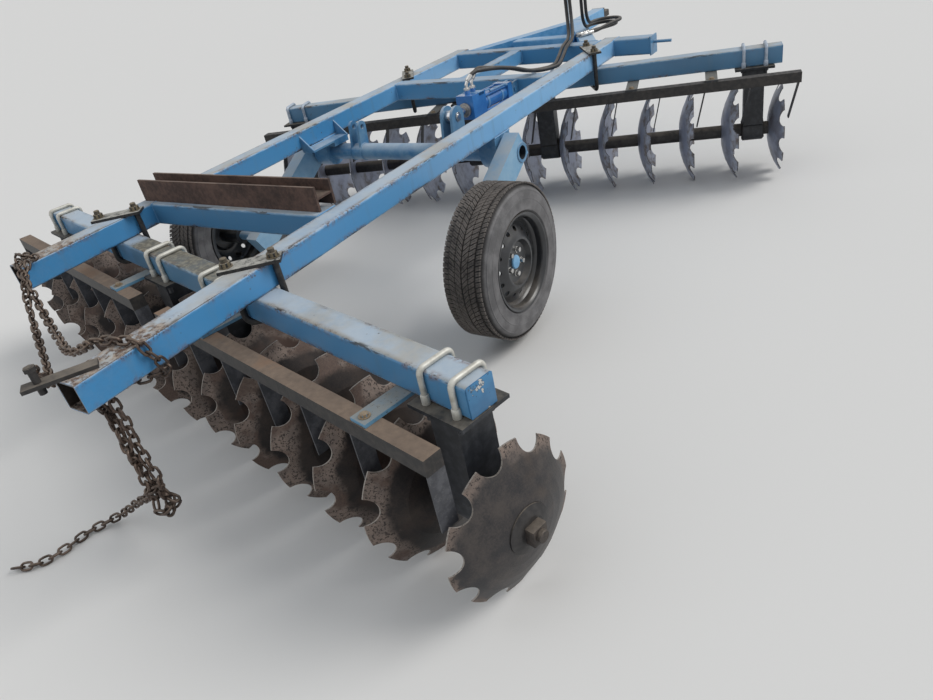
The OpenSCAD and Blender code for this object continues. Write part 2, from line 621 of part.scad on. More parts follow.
module hose_couplers() color("silver") placed() for (i = [0, 1]) {
    last = hose_way[len(hose_way) - 1];
    run = last - hose_way[len(hose_way) - 2];
    strand([last + i * hose_step, last + i * hose_step + run / norm(run) * coupler_l], coupler_r, 24);
}

// Rolled beam lying on the rear cross member as ballast, its flanges upright
ballast_l = 1115;
ballast_w = 100;
ballast_h = 100;
ballast_web_t = 8;
ballast_flange_t = 11;
module ballast() color("#6b4a3a") placed() translate([-48, cross_rear_y + 30, frame_top]) {
    for (side = [-1, 1]) translate([0, side * (ballast_w - ballast_flange_t) / 2, 0])
        block([-ballast_l / 2, -ballast_flange_t / 2, 0], [ballast_l / 2, ballast_flange_t / 2, ballast_h]);
    block([-ballast_l / 2, -ballast_w / 2, (ballast_h - ballast_web_t) / 2],
        [ballast_l / 2, ballast_w / 2, (ballast_h + ballast_web_t) / 2]);
}

// Flat plate with a pin on the rear end of the right rail, for the chain
chain_plate_w = 46;
chain_plate_t = 12;
chain_pin_r = 11;
chain_pin = [512, -3950];
module chain_plate() color("dimgray") placed() translate([chain_pin.x, chain_pin.y, frame_top])
    rotate([0, 0, -32]) {
    block([-chain_plate_w / 2, -45, 0], [chain_plate_w / 2, 160, chain_plate_t]);
    translate([0, 0, -25]) cylinder(r = chain_pin_r, h = 90);
    translate([0, 0, 50]) cylinder(r = 17, h = 14, $fn = 6);
}

// Chain between the rear ends of the rails, over the right rail, down in a bunch and along the floor
chain_r = 14;
rail_end_y = rail_front_y - rail_left_len;
over = frame_top + chain_r + rest_gap;
beside = rail_x + tube_w / 2 + chain_r + rest_gap;
under = rail_z - chain_r - rest_gap;
on_floor = chain_r + 0.2 - foot;
chain_ways = [
    [[-500, rail_end_y + 60, over], [-640, rail_end_y + 55, over], [-645, rail_end_y + 50, 700]],
    [[-560, rail_end_y + 20, over], [-500, rail_end_y - 20, over], [-250, rail_end_y - 120, 745],
        [0, rail_end_y - 215, 720], [250, rail_end_y - 300, 760], [480, -3760, over]],
    [[-500, rail_end_y + 20, over], [-400, rail_end_y - 75, 800], [-200, rail_end_y - 190, 725],
        [100, rail_end_y - 330, 700], [330, rail_end_y - 430, 740], [462, -3925, 862], [497, -3932, 868]],
    [[470, -3745, over], [beside, -3700, over], [beside, -3668, under], [545, -3765, under],
        [500, -3788, 690], [512, -3790, 420]],
    [[488, -3860, under], [476, -3815, 640], [482, -3812, 400]],
    [[512, -3790, 430], [540, -3800, 340], [470, -3812, 300], [530, -3775, 250], [488, -3800, 190]],
    [[482, -3812, 410], [470, -3812, 300], [250, -3778, 160], [50, -3800, 0],
        [-20, -3890, on_floor], [-32, -3990, on_floor], [-62, -4070, on_floor],
        [-140, -4130, on_floor]]];
module chain() color("#4a3a34") placed() for (way = chain_ways) strand(way, chain_r, 8);

rail_right();
rail_left();
cross_rear();
cross_middle();
cross_front();
front_stub();
centre_beam();
gang_beam_rear();
gang_beam_front();
clamps_rear();
clamps_front();
standards_rear_right();
standards_rear_left();
standards_front_right();
standards_front_left();
scraper_bar_rear_right();
scraper_bar_rear_left();
scraper_bar_front_right();
scraper_bar_front_left();
axle_rear_right();
axle_rear_left();
axle_front_right();
axle_front_left();
discs_rear_right();
discs_rear_left();
discs_front_right();
discs_front_left();
drawbar_legs();
drawbar_cross();
tongue();
hitch_eye();
hose_stand();
hose_inner();
hose_outer();
hose_couplers();
lift_bracket_right();
lift_bracket_left();
cylinder_anchor();
torque_tube();
wheel_arm_right();
wheel_arm_left();
rim_right();
rim_left();
tyre_right();
tyre_left();
cylinder_barrel();
cylinder_rod();
ballast();
chain_plate();
chain();
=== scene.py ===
"""Looks of a trailed disc harrow: worn blue paint, dust, rust, discs, tyres, chain and hoses."""
import bpy
import math
import random
from mathutils import Matrix, Vector


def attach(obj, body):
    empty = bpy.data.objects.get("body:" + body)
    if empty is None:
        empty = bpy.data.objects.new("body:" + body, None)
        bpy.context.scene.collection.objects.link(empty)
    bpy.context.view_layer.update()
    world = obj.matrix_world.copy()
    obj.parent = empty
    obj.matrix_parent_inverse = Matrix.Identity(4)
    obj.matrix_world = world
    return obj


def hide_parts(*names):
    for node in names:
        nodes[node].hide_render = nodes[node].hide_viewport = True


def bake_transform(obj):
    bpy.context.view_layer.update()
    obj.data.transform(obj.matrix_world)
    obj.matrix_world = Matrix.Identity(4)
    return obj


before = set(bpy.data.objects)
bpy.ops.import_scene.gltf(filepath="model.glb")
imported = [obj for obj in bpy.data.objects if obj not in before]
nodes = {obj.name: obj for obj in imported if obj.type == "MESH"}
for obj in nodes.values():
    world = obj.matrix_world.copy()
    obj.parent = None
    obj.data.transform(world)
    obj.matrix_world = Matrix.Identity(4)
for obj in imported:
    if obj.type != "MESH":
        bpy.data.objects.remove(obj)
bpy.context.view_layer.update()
dice = random.Random(7)

# Sizes and places of the source, in millimetres and degrees; heights count from an outer disc's foot

ORIGIN = (28.4, -1409.0)
FOOT = 30
TUBE = 100
RAIL_X, RAIL_Z, BEAM_Z = 575, 735, 635
TOP_Z = RAIL_Z + TUBE
RAIL_MID, BEAM_MID = RAIL_Z + TUBE / 2, BEAM_Z + TUBE / 2
RIGHT_REAR, LEFT_REAR = -3915, -3430
CROSS_Y = (-2740, -813, -60)
AXIS_Z = 255
REAR_Y, REAR_YAW, REAR_MID = -3066, -12.8, 45
FRONT_Y, FRONT_YAW, FRONT_MID = -472, 17.0, 75
REAR_DISCS, FRONT_DISCS = (60, 300), (-9, 268)
PITCH, COUNT = 250, 7
TORQUE_Y, TORQUE_Z, LEVER_X = -1540, 642, 330
ARM, DROOP = 674, math.radians(24.4)
AXLE_Y = TORQUE_Y - ARM * math.cos(DROOP)
AXLE_Z = TORQUE_Z - ARM * math.sin(DROOP)
WHEEL_FACE, TYRE_W, HUB_BORE = 1018, 210, 25.4
CYLINDER_Y, CYLINDER_Z, CYLINDER_TILT = -905, 790, 2.793


def at(x, y, z):
    """A place on the machine in millimetres, as metres in the row frame."""
    return Vector(((x - ORIGIN[0]) / 1000, (y - ORIGIN[1]) / 1000, (z + FOOT) / 1000))


def level(z):
    """A height on the machine in millimetres, as metres above the floor."""
    return (z + FOOT) / 1000


def mm(*values):
    return Vector(values) / 1000


def shift(x, y, z):
    return Matrix.Translation(mm(x, y, z))


def spin_x(angle):
    return Matrix.Rotation(math.radians(angle), 4, "X")


def spin_y(angle):
    return Matrix.Rotation(math.radians(angle), 4, "Y")


def spin_z(angle):
    return Matrix.Rotation(math.radians(angle), 4, "Z")


def place(x, y, z, yaw=0.0):
    """A move to a place on the machine, turned about Z."""
    return Matrix.Translation(at(x, y, z)) @ spin_z(yaw)


ON_REAR = place(0, REAR_Y, 0, REAR_YAW)
ON_FRONT = place(0, FRONT_Y, 0, FRONT_YAW)
# Along the cylinder: X runs from its anchor to its rod
ON_CYLINDER = place(LEVER_X, CYLINDER_Y, CYLINDER_Z) @ spin_x(-CYLINDER_TILT) @ spin_z(-90)


def on_wheel(side):
    """A move to a wheel's outer face, with Z pointing outwards."""
    return place(side * WHEEL_FACE, AXLE_Y, AXLE_Z) @ spin_y(side * 90)


def hub_place(mid, outer_gap, side, n):
    """Where disc n of a half gang sits along the gang, counted from its outer end."""
    return mid + side * ((COUNT - 1.5) * PITCH + outer_gap if n == 0 else (COUNT - 0.5 - n) * PITCH)


# Camera and light

PHOTO_WIDTH, FOCAL, SENSOR = 933.0, 721.3, 36.0
camera_data = bpy.data.cameras.new("camera")
camera_data.sensor_fit = "HORIZONTAL"
camera_data.sensor_width = SENSOR
camera_data.lens = FOCAL * SENSOR / PHOTO_WIDTH
camera_data.clip_end = 4000.0
camera = bpy.data.objects.new("camera", camera_data)
bpy.context.scene.collection.objects.link(camera)
right = Vector((0.83799, 0.51576, -0.17821))
up = Vector((-0.14975, 0.53140, 0.83378))
ahead = Vector((-0.52473, 0.67201, -0.52254))
looks_along = Matrix((right, up, -ahead)).transposed().to_4x4()
camera.matrix_world = Matrix.Translation(at(2531.5, -4627.8, 1749.9)) @ looks_along
bpy.context.scene.camera = camera
bpy.context.scene.view_settings.view_transform = "Standard"


def lamp(name, direction, strength, angle, tint):
    data = bpy.data.lights.new(name, "SUN")
    data.energy = strength
    data.angle = math.radians(angle)
    data.color = tint
    obj = bpy.data.objects.new(name, data)
    obj.rotation_euler = Vector(direction).to_track_quat("Z", "Y").to_euler()
    bpy.context.scene.collection.objects.link(obj)


lamp("sky_right", (0.62, 0.42, 0.66), 1.75, 35, (1.0, 0.985, 0.96))
lamp("sky_rear", (-0.35, -0.55, 0.76), 0.45, 60, (0.93, 0.96, 1.0))


# Finishes: a tone is one output of a material's nodes, and sums on tones add the nodes that work them out

class Tone:
    def __init__(self, finish, socket):
        self.finish = finish
        self.socket = socket

    def work(self, operation, *values):
        return self.finish.add("ShaderNodeMath", {"operation": operation}, values)

    def __add__(self, other):
        return self.work("ADD", self, other)

    def __radd__(self, other):
        return self.work("ADD", other, self)

    def __sub__(self, other):
        return self.work("SUBTRACT", self, other)

    def __rsub__(self, other):
        return self.work("SUBTRACT", other, self)

    def __mul__(self, other):
        return self.work("MULTIPLY", self, other)

    def __rmul__(self, other):
        return self.work("MULTIPLY", other, self)

    def __pow__(self, other):
        return self.work("POWER", self, other)

    def __abs__(self):
        return self.work("ABSOLUTE", self)

    def least(self, other):
        return self.work("MINIMUM", self, other)

    def most(self, other):
        return self.work("MAXIMUM", self, other)

    def rise(self, low, high, bottom=0.0, top=1.0):
        """Smoothly from bottom, where this tone is low, to top, where it is high."""
        ends = {"Value": self, "From Min": low, "From Max": high, "To Min": bottom, "To Max": top}
        return self.finish.add("ShaderNodeMapRange", {"interpolation_type": "SMOOTHSTEP"}, ends)


class Finish:
    """One material with a Principled shader, worked out from the piece's own coordinates."""

    def __init__(self, name, roughness=0.5, metallic=0.0, coat=0.0, specular=0.5):
        self.material = bpy.data.materials.new(name)
        self.material.use_nodes = True
        self.tree = self.material.node_tree
        self.tree.nodes.clear()
        self.shader = self.tree.nodes.new("ShaderNodeBsdfPrincipled")
        out = self.tree.nodes.new("ShaderNodeOutputMaterial")
        self.tree.links.new(self.shader.outputs[0], out.inputs[0])
        self.feed(self.shader.inputs["Roughness"], roughness)
        self.feed(self.shader.inputs["Metallic"], metallic)
        self.feed(self.shader.inputs["Coat Weight"], coat)
        self.feed(self.shader.inputs["Coat Roughness"], 0.2)
        self.feed(self.shader.inputs["Specular IOR Level"], specular)
        self.spot = self.add("ShaderNodeTexCoord", output="Object")
        self.normal = self.add("ShaderNodeTexCoord", output="Normal")

    def feed(self, socket, value):
        if isinstance(value, Tone):
            self.tree.links.new(value.socket, socket)
        elif isinstance(value, (tuple, list, Vector)):
            is_colour = len(value) == 3 and len(socket.default_value) == 4
            socket.default_value = (*value, 1.0) if is_colour else value
        else:
            socket.default_value = value

    def add(self, kind, settings=None, values=(), output=0):
        """A node of a kind; its settings come first, then the values or links of its sockets."""
        node = self.tree.nodes.new(kind)
        for key, value in (settings or {}).items():
            setattr(node, key, value)
        for key, value in (values.items() if isinstance(values, dict) else enumerate(values)):
            self.feed(node.inputs[key], value)
        return Tone(self, node.outputs[output])

    def parts(self, vector):
        """The three numbers of a vector."""
        node = self.tree.nodes.new("ShaderNodeSeparateXYZ")
        self.feed(node.inputs[0], vector)
        return [Tone(self, socket) for socket in node.outputs]

    def local(self, centre, turn=(0, 0, 0)):
        """The piece's coordinates from a centre, along axes that are turned, in degrees."""
        turn = [math.radians(angle) for angle in turn]
        values = {"Vector": self.spot, "Location": centre, "Rotation": turn}
        return self.add("ShaderNodeMapping", {"vector_type": "TEXTURE"}, values)

    def noise(self, scale, detail=4.0, rough=0.55, where=None, stretch=None):
        vector = where or self.spot
        if stretch:
            vector = self.add("ShaderNodeVectorMath", {"operation": "MULTIPLY"}, (vector, stretch))
        values = {"Vector": vector, "Scale": scale, "Detail": detail, "Roughness": rough, "Distortion": 0.0}
        return self.add("ShaderNodeTexNoise", {"noise_dimensions": "3D"}, values)

    def dots(self, scale, size):
        """Round specks, 1 inside a speck and 0 outside."""
        cells = self.add("ShaderNodeTexVoronoi", {"feature": "F1"}, {"Vector": self.spot, "Scale": scale})
        return cells.rise(size, size * 0.55)

    def mix(self, share, first, second):
        """The first colour where the share is 0, the second where it is 1."""
        return self.add("ShaderNodeMix", {"data_type": "RGBA"}, {0: share, 6: first, 7: second}, 2)

    def facing(self, low=0.55, high=0.9):
        """1 on faces that look up."""
        return self.parts(self.normal)[2].rise(low, high)

    def bump(self, height, strength, distance):
        values = {"Strength": strength, "Distance": distance, "Height": height}
        self.feed(self.shader.inputs["Normal"], self.add("ShaderNodeBump", {}, values))

    def show(self, colour, roughness=None, metallic=None, coat=None):
        self.feed(self.shader.inputs["Base Color"], colour)
        for name, value in (("Roughness", roughness), ("Metallic", metallic), ("Coat Weight", coat)):
            if value is not None:
                self.feed(self.shader.inputs[name], value)
        return self.material


BLUE = (0.058, 0.245, 0.490)
BLUE_DEEP = (0.036, 0.165, 0.345)
BLUE_PALE = (0.170, 0.400, 0.660)
# The next blue is painted light, for the lit front of the rails
BLUE_SKY_LIT = (0.230, 0.465, 0.740)
BLUE_DULL = (0.115, 0.205, 0.275)
BLUE_LIFT = (0.150, 0.290, 0.430)
DUST = (0.415, 0.480, 0.545)
DUST_WARM = (0.400, 0.350, 0.270)
DIRT = (0.070, 0.056, 0.044)
RUST = (0.185, 0.075, 0.032)
RUST_DARK = (0.050, 0.028, 0.019)


def beam_paint(name, centre, along, mid_z, yaw=0.0, dusty=0.85, pale=0.0, chips=0.5, dull=0.0, tube=TUBE,
               bare_end=None, front_sky_light=None, tan_part=None):
    """Blue paint on a square tube: dust on its top, chips and dirt along its edges, runs down its sides.
    bare_end is the place along the tube, and the way, where the paint has gone from its top; with it the
    inside of the tube near its open rear end is painted near black as shade.
    Two stretches of the tube follow, in metres: one where the blue grows paler towards the front, which is
    painted light, and tan_part, for brown dust."""
    f = Finish(name)
    local = f.local(centre, (0, 0, yaw))
    x, y, z = f.parts(local)
    run, across = (x, y) if along == "x" else (y, x)
    half, mid_z = tube / 2000, mid_z / 1000
    from_side, from_top = half - abs(across), half - abs(z - mid_z)
    edge = from_side.most(from_top)
    broad, fine = f.noise(2.3, 4), f.noise(46, 6, 0.65)
    up = f.facing()
    paint = f.mix(broad.rise(0.3, 0.7), BLUE_DEEP, BLUE) if dull > 0.5 else BLUE
    if pale:
        paint = f.mix(pale, paint, BLUE_PALE)
    if dull:
        paint = f.mix(dull * 0.8, paint, BLUE_DULL)
    # Painted light: the blue grows paler towards the front of the tube, as if lit from the open front
    if front_sky_light:
        paint = f.mix(run.rise(*front_sky_light) * 0.9, paint, BLUE_SKY_LIT)
    streaks = f.noise(26, 3, 0.6, local, (1, 1, 0.12)).rise(0.52, 0.75)
    paint = f.mix(streaks * 0.22 * (1.0 - up), paint, (0.12, 0.20, 0.27))
    cloud = broad * 0.5 + fine * 0.5 + f.noise(9, 5, 0.6) * 0.6
    cover = cloud.rise(0.42, 0.95, dusty - 0.28, min(1.0, dusty + 0.12))
    dust = f.mix(f.noise(5, 5).rise(0.4, 0.65) * 0.6, DUST, DUST_WARM)
    if tan_part:
        start, end = tan_part
        wavy = run + broad * 0.1 - 0.05
        tan = wavy.rise(start - 0.03, start + 0.03) * wavy.rise(end + 0.05, end)
        dust = f.mix(tan, dust, f.mix(fine.rise(0.4, 0.65), (0.120, 0.105, 0.075), (0.245, 0.225, 0.175)))
        paint = f.mix(tan * 0.5, paint, (0.050, 0.120, 0.175))
    colour = f.mix(up * cover, paint, dust)
    # Brown stains by the edges of the top, a pale worn line along each edge, then chips down to dark scale
    stain = up * edge.rise(0.024, 0.002) * f.noise(5, 5, 0.6, local).rise(0.46, 0.66)
    colour = f.mix(stain * 0.6, colour, (0.235, 0.190, 0.120))
    worn = edge.rise(0.012, 0.002) * f.noise(30, 4).rise(0.38, 0.6)
    colour = f.mix(worn * 0.45, colour, (0.36, 0.45, 0.50))
    patch = f.noise(5.5, 3, 0.6, local).rise(0.62 - 0.22 * chips, 0.74 - 0.14 * chips)
    chip = edge.rise(0.022, 0.004) * patch * f.noise(150, 5, 0.7).rise(0.50, 0.60)
    halo = edge.rise(0.030, 0.004) * patch * f.noise(60, 4).rise(0.42, 0.62)
    colour = f.mix(halo * 0.55, colour, RUST)
    colour = f.mix(chip, colour, RUST_DARK)
    # Dark dashes along the edges and spots of dirt
    drawn_out = (0.2, 1, 1) if along == "x" else (1, 0.2, 1)
    dashes = f.noise(34, 4, 0.7, local, drawn_out).rise(0.52, 0.58) * edge.rise(0.015, 0.004)
    dashes = dashes * f.noise(2.6, 3, where=local).rise(0.49 - 0.07 * chips, 0.56)
    colour = f.mix(dashes * 0.85, colour, (0.022, 0.020, 0.017))
    spots = f.dots(34, 0.16) * f.noise(3.1, 2).rise(0.58, 0.66)
    colour = f.mix(spots * 0.8, colour, DIRT)
    rough = (up * cover).rise(0.0, 1.0, 0.36, 0.82).most(chip * 0.9)
    if bare_end:
        # Painted shade: the inside of the tube near its open rear end is near black
        inside = from_side.least(from_top).rise(0.001, 0.003) * run.rise(0.6, 0.5)
        colour = f.mix(inside, colour, (0.020, 0.016, 0.014))
        where, way = bare_end
        gone = ((run - where) * way + f.noise(22, 5, 0.7) * 0.22 - 0.11).rise(-0.10, 0.03)
        bare = gone * f.noise(38, 6, 0.75).rise(0.40, 0.56) * (up * 0.95 + 0.05)
        metal = f.mix(fine.rise(0.4, 0.62), (0.105, 0.062, 0.042), (0.36, 0.30, 0.25))
        colour = f.mix(bare, colour, metal)
        rough = rough.most(bare * 0.9)
    f.bump(fine * 0.25 - chip - halo * 0.3, 0.35, 0.0012)
    return f.show(colour, rough, coat=(1.0 - up) * 0.15)


def plain_finish(name, dark, light, roughness, metallic=0.0, dusty=0.4, dust=(0.30, 0.255, 0.205), scale=30,
                 bump=0.3, coat=0.0, wear=0.0, shaded_hole=None):
    """Paint or metal on a small piece, mottled, with dust on its upper faces.
    The last argument is a place and a radius about the X axis there, inside which the piece is painted near
    black: painted shade, as of a hole."""
    f = Finish(name, roughness, metallic, coat)
    fine, broad = f.noise(scale, 6, 0.65), f.noise(scale / 6, 4)
    colour = f.mix((fine * 0.6 + broad * 0.6).rise(0.42, 0.78), dark, light)
    lying = (f.noise(scale * 0.7, 5, 0.7) * 0.7 + broad * 0.6).rise(0.35, 0.8)
    cover = f.facing(0.35, 0.95) * lying * dusty
    colour = f.mix(cover, colour, dust)
    if wear:
        colour = f.mix(f.noise(scale * 3, 5, 0.75).rise(0.56, 0.64) * wear, colour, RUST)
    # Painted shade: a near-black disc about the axis, as the dark inside of a hole
    if shaded_hole:
        middle, radius = shaded_hole
        x, y, z = f.parts(f.local(middle))
        inside = ((y * y + z * z) ** 0.5).rise(radius, radius - 0.001)
        colour = f.mix(inside, colour, (0.012, 0.013, 0.016))
    f.bump(fine, bump, 0.0008)
    return f.show(colour, cover.rise(0.0, 1.0, roughness, 0.9))


def paint_node(name, material):
    nodes[name].data.materials.clear()
    nodes[name].data.materials.append(material)


# Modelling: pieces are made at the origin, then moved to their place

def only(obj):
    """Selects just this piece."""
    bpy.ops.object.select_all(action="DESELECT")
    obj.select_set(True)
    bpy.context.view_layer.objects.active = obj


def primitive(make, **settings):
    """A new mesh from one of Blender's own shapes, with its place and size applied."""
    bpy.ops.object.select_all(action="DESELECT")
    make(**settings)
    bpy.ops.object.transform_apply(location=True, rotation=True, scale=True)
    return bpy.context.object


def edit_only(obj, kind, wanted):
    """Opens a piece in edit mode with only the wanted faces or points selected."""
    bpy.ops.object.mode_set(mode="EDIT")
    bpy.ops.mesh.select_mode(type=kind)
    bpy.ops.mesh.select_all(action="DESELECT")
    bpy.ops.object.mode_set(mode="OBJECT")
    for part in obj.data.vertices if kind == "VERT" else obj.data.polygons:
        part.select = wanted(part)
    bpy.ops.object.mode_set(mode="EDIT")


def block(size, edge):
    """A block with rounded edges; size and edge in millimetres."""
    obj = primitive(bpy.ops.mesh.primitive_cube_add, size=1, scale=mm(*size))
    bpy.ops.object.mode_set(mode="EDIT")
    bpy.ops.mesh.select_all(action="SELECT")
    bpy.ops.mesh.bevel(offset=edge / 1000, segments=2, profile=0.5, affect="EDGES")
    bpy.ops.object.mode_set(mode="OBJECT")
    return obj


def turned(profile, steps):
    """A shape turned about Z from rows of radius and height, in millimetres."""
    obj = primitive(bpy.ops.mesh.primitive_plane_add, size=0.001)
    bpy.ops.object.mode_set(mode="EDIT")
    bpy.ops.mesh.select_mode(type="VERT")
    bpy.ops.mesh.select_all(action="SELECT")
    bpy.ops.mesh.merge(type="CENTER")
    bpy.ops.transform.translate(value=mm(profile[0][0], 0, profile[0][1]))
    for (r0, z0), (r1, z1) in zip(profile, profile[1:]):
        bpy.ops.mesh.extrude_region_move(TRANSFORM_OT_translate={"value": mm(r1 - r0, 0, z1 - z0)})
    bpy.ops.mesh.select_all(action="SELECT")
    bpy.ops.mesh.spin(steps=steps, angle=2 * math.pi, center=(0, 0, 0), axis=(0, 0, 1))
    bpy.ops.mesh.select_all(action="SELECT")
    bpy.ops.mesh.remove_doubles(threshold=0.00001)
    bpy.ops.mesh.normals_make_consistent(inside=False)
    bpy.ops.object.mode_set(mode="OBJECT")
    return obj


def hexagon(radius, height, edge, foot=0, sides=6):
    """A nut or bolt head that stands on its foot height, with its top edges taken off."""
    obj = primitive(bpy.ops.mesh.primitive_cylinder_add, vertices=sides, radius=radius / 1000,
                    depth=height / 1000, location=mm(0, 0, foot + height / 2))
    top = (foot + height) / 1000 - 0.0001
    edit_only(obj, "FACE", lambda face: face.center.z > top)
    bpy.ops.mesh.bevel(offset=edge / 1000, segments=2, affect="EDGES")
    bpy.ops.object.mode_set(mode="OBJECT")
    return obj


def rounded(corners, radius):
    """A row of points with its inner corners rounded."""
    steps, most_reach = 6, 0.49
    row = [Vector(corners[0])]
    for before, corner, after in zip(corners, corners[1:], corners[2:]):
        before, corner, after = Vector(before), Vector(corner), Vector(after)
        back, on = (before - corner).normalized(), (after - corner).normalized()
        shorter = min((before - corner).length, (after - corner).length)
        reach = min(radius / math.tan(back.angle(on) / 2), shorter * most_reach)
        start, end = corner + back * reach, corner + on * reach
        for k in range(steps + 1):
            t = k / steps
            row.append(start * (1 - t) ** 2 + corner * 2 * t * (1 - t) + end * t ** 2)
    return row + [Vector(corners[-1])]


def smooth_way(points, steps):
    """A smooth row of points through the given ones."""
    points = [Vector(p) for p in points]
    ends = [points[0] * 2 - points[1]] + points + [points[-1] * 2 - points[-2]]
    row = []
    for a, b, c, d in zip(ends, ends[1:], ends[2:], ends[3:]):
        for k in range(steps):
            t = k / steps
            bend = (2 * a - 5 * b + 4 * c - d) * t * t + (3 * b - a - 3 * c + d) * t ** 3
            row.append(0.5 * (2 * b + (c - a) * t + bend))
    return row + [points[-1]]


def rod(points, radius, sides, swell=(1.0,)):
    """A round bar through points in metres; its radius is in millimetres and swells point by point."""
    bpy.ops.object.select_all(action="DESELECT")
    bpy.ops.curve.primitive_nurbs_path_add()
    curve = bpy.context.object.data
    curve.splines.clear()
    spline = curve.splines.new("POLY")
    spline.points.add(len(points) - 1)
    for k, point in enumerate(points):
        spline.points[k].co = (*point, 1.0)
        spline.points[k].radius = swell[k % len(swell)]
    curve.dimensions = "3D"
    curve.bevel_depth = radius / 1000
    curve.bevel_resolution = sides
    curve.use_fill_caps = True
    bpy.ops.object.convert(target="MESH")
    return bpy.context.object


def moved(obj, move):
    obj.data.transform(move)
    return obj


def joined(parts):
    bpy.ops.object.select_all(action="DESELECT")
    for part in parts:
        part.select_set(True)
    bpy.context.view_layer.objects.active = parts[0]
    if len(parts) > 1:
        bpy.ops.object.join()
    return bpy.context.object


def repeated(obj, moves):
    """Copies of a piece at each of its places, as one mesh."""
    copies = []
    for move in moves:
        copy = obj.copy()
        copy.data = obj.data.copy()
        copy.data.transform(move)
        bpy.context.scene.collection.objects.link(copy)
        copies.append(copy)
    bpy.data.objects.remove(obj)
    return joined(copies)


def fitted(obj, name, material, body="frame", stands_for=(), angle=35):
    """Names a finished piece, smooths it, paints it and puts it on its body, if it has one."""
    only(obj)
    obj.name = obj.data.name = name
    bpy.ops.object.shade_smooth_by_angle(angle=math.radians(angle))
    obj.data.materials.clear()
    obj.data.materials.append(material)
    if body:
        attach(obj, body)
    if stands_for:
        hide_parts(*stands_for)
    return obj


# Paint on the imported tubes; bare ends, stretches of painted light towards the front and tan stretches are
# in metres along the tube

paint_node("rail_right", beam_paint("rail_right_paint", at(RAIL_X, RIGHT_REAR, 0), "y", RAIL_MID, dusty=0.88,
                                    chips=0.95, bare_end=(0.30, -1), front_sky_light=(0.7, 3.1)))
paint_node("rail_left", beam_paint("rail_left_paint", at(-RAIL_X, LEFT_REAR, 0), "y", RAIL_MID, dusty=0.9,
                                   chips=0.8, bare_end=(0.22, -1), front_sky_light=(2.0, 3.3)))
for node, y, dusty, dull in (("cross_rear", CROSS_Y[0], 0.75, 0.45), ("cross_middle", CROSS_Y[1], 0.6, 0.3),
                             ("cross_front", CROSS_Y[2], 0.55, 0.2)):
    paint_node(node, beam_paint(node + "_paint", at(0, y, 0), "x", RAIL_MID, dusty=dusty, dull=dull))
paint_node("front_stub", beam_paint("stub_paint", at(0, 0, 0), "x", RAIL_MID, dusty=0.5, dull=0.5))
paint_node("centre_beam", beam_paint("centre_beam_paint", at(-45, 0, 0), "y", 793, dusty=0.55, pale=0.4,
                                     tube=80))
paint_node("gang_beam_rear", beam_paint("rear_gang_beam_paint", at(0, REAR_Y, 0), "x", BEAM_MID, REAR_YAW,
                                        dusty=0.85, dull=0.35, chips=0.7, tan_part=(-0.45, 0.35)))
paint_node("gang_beam_front", beam_paint("front_gang_beam_paint", at(0, FRONT_Y, 0), "x", BEAM_MID, FRONT_YAW,
                                         dusty=0.75, dull=0.6, chips=0.3))

# Plain paint and metal

LIFT_PAINT = dict(dark=BLUE_DEEP, light=BLUE_LIFT, roughness=0.38, dusty=0.75, dust=DUST, scale=16, coat=0.2)
blue_steel = plain_finish("blue_steel", BLUE, BLUE_PALE, 0.4, dusty=0.75, dust=DUST, scale=18)
lift_blue = plain_finish("lift_blue", **LIFT_PAINT)
# The torque tube's end faces get a painted shade disc, as if the tube were open
torque_blue = plain_finish("torque_tube_paint", shaded_hole=(at(0, TORQUE_Y, TORQUE_Z), 0.0348), **LIFT_PAINT)
arm_blue = plain_finish("arm_blue", (0.150, 0.330, 0.520), (0.260, 0.430, 0.580), 0.42, dusty=0.8,
                        dust=(0.42, 0.43, 0.43), scale=14)
cylinder_blue = plain_finish("cylinder_blue", (0.022, 0.130, 0.400), (0.050, 0.210, 0.520), 0.22, dusty=0.2,
                             dust=(0.30, 0.40, 0.50), scale=12, coat=0.7)
trim_blue = plain_finish("cylinder_light_blue", (0.100, 0.250, 0.470), (0.190, 0.370, 0.580), 0.3, dusty=0.2,
                         coat=0.3)
hub_blue = plain_finish("hub_cap_blue", (0.140, 0.340, 0.560), (0.220, 0.430, 0.640), 0.4, dusty=0.3,
                        dust=DUST, scale=40)
dark_iron = plain_finish("dark_iron", (0.022, 0.021, 0.022), (0.060, 0.056, 0.054), 0.55, 0.3, dusty=0.6,
                         scale=40)
rusty_iron = plain_finish("rusty_iron", (0.034, 0.024, 0.020), (0.150, 0.108, 0.086), 0.42, 0.6, dusty=0.35,
                          scale=70, bump=0.6, wear=0.2)
olive_iron = plain_finish("olive_iron", (0.075, 0.062, 0.038), (0.200, 0.165, 0.110), 0.6, 0.5, dusty=0.5,
                          scale=60, bump=0.5)
axle_iron = plain_finish("axle_nut_iron", (0.034, 0.029, 0.027), (0.115, 0.094, 0.080), 0.5, 0.5, dusty=0.35,
                         scale=60)
ballast_rust = plain_finish("ballast_rust", (0.052, 0.034, 0.029), (0.135, 0.082, 0.064), 0.85, 0.1,
                            dusty=0.3, scale=55, bump=0.7, wear=0.25)
tan_bolt = plain_finish("tan_bolt", (0.170, 0.125, 0.080), (0.400, 0.310, 0.210), 0.5, 0.5, dusty=0.3,
                        scale=80)
bright_steel = plain_finish("bright_steel", (0.42, 0.42, 0.42), (0.70, 0.69, 0.67), 0.25, 0.9, dusty=0.12,
                            scale=50)
dull_steel = plain_finish("dull_steel", (0.20, 0.20, 0.20), (0.42, 0.41, 0.39), 0.42, 0.8, dusty=0.35,
                          scale=50)
rod_chrome = plain_finish("rod_chrome", (0.55, 0.56, 0.58), (0.72, 0.73, 0.75), 0.18, 1.0, dusty=0.1)
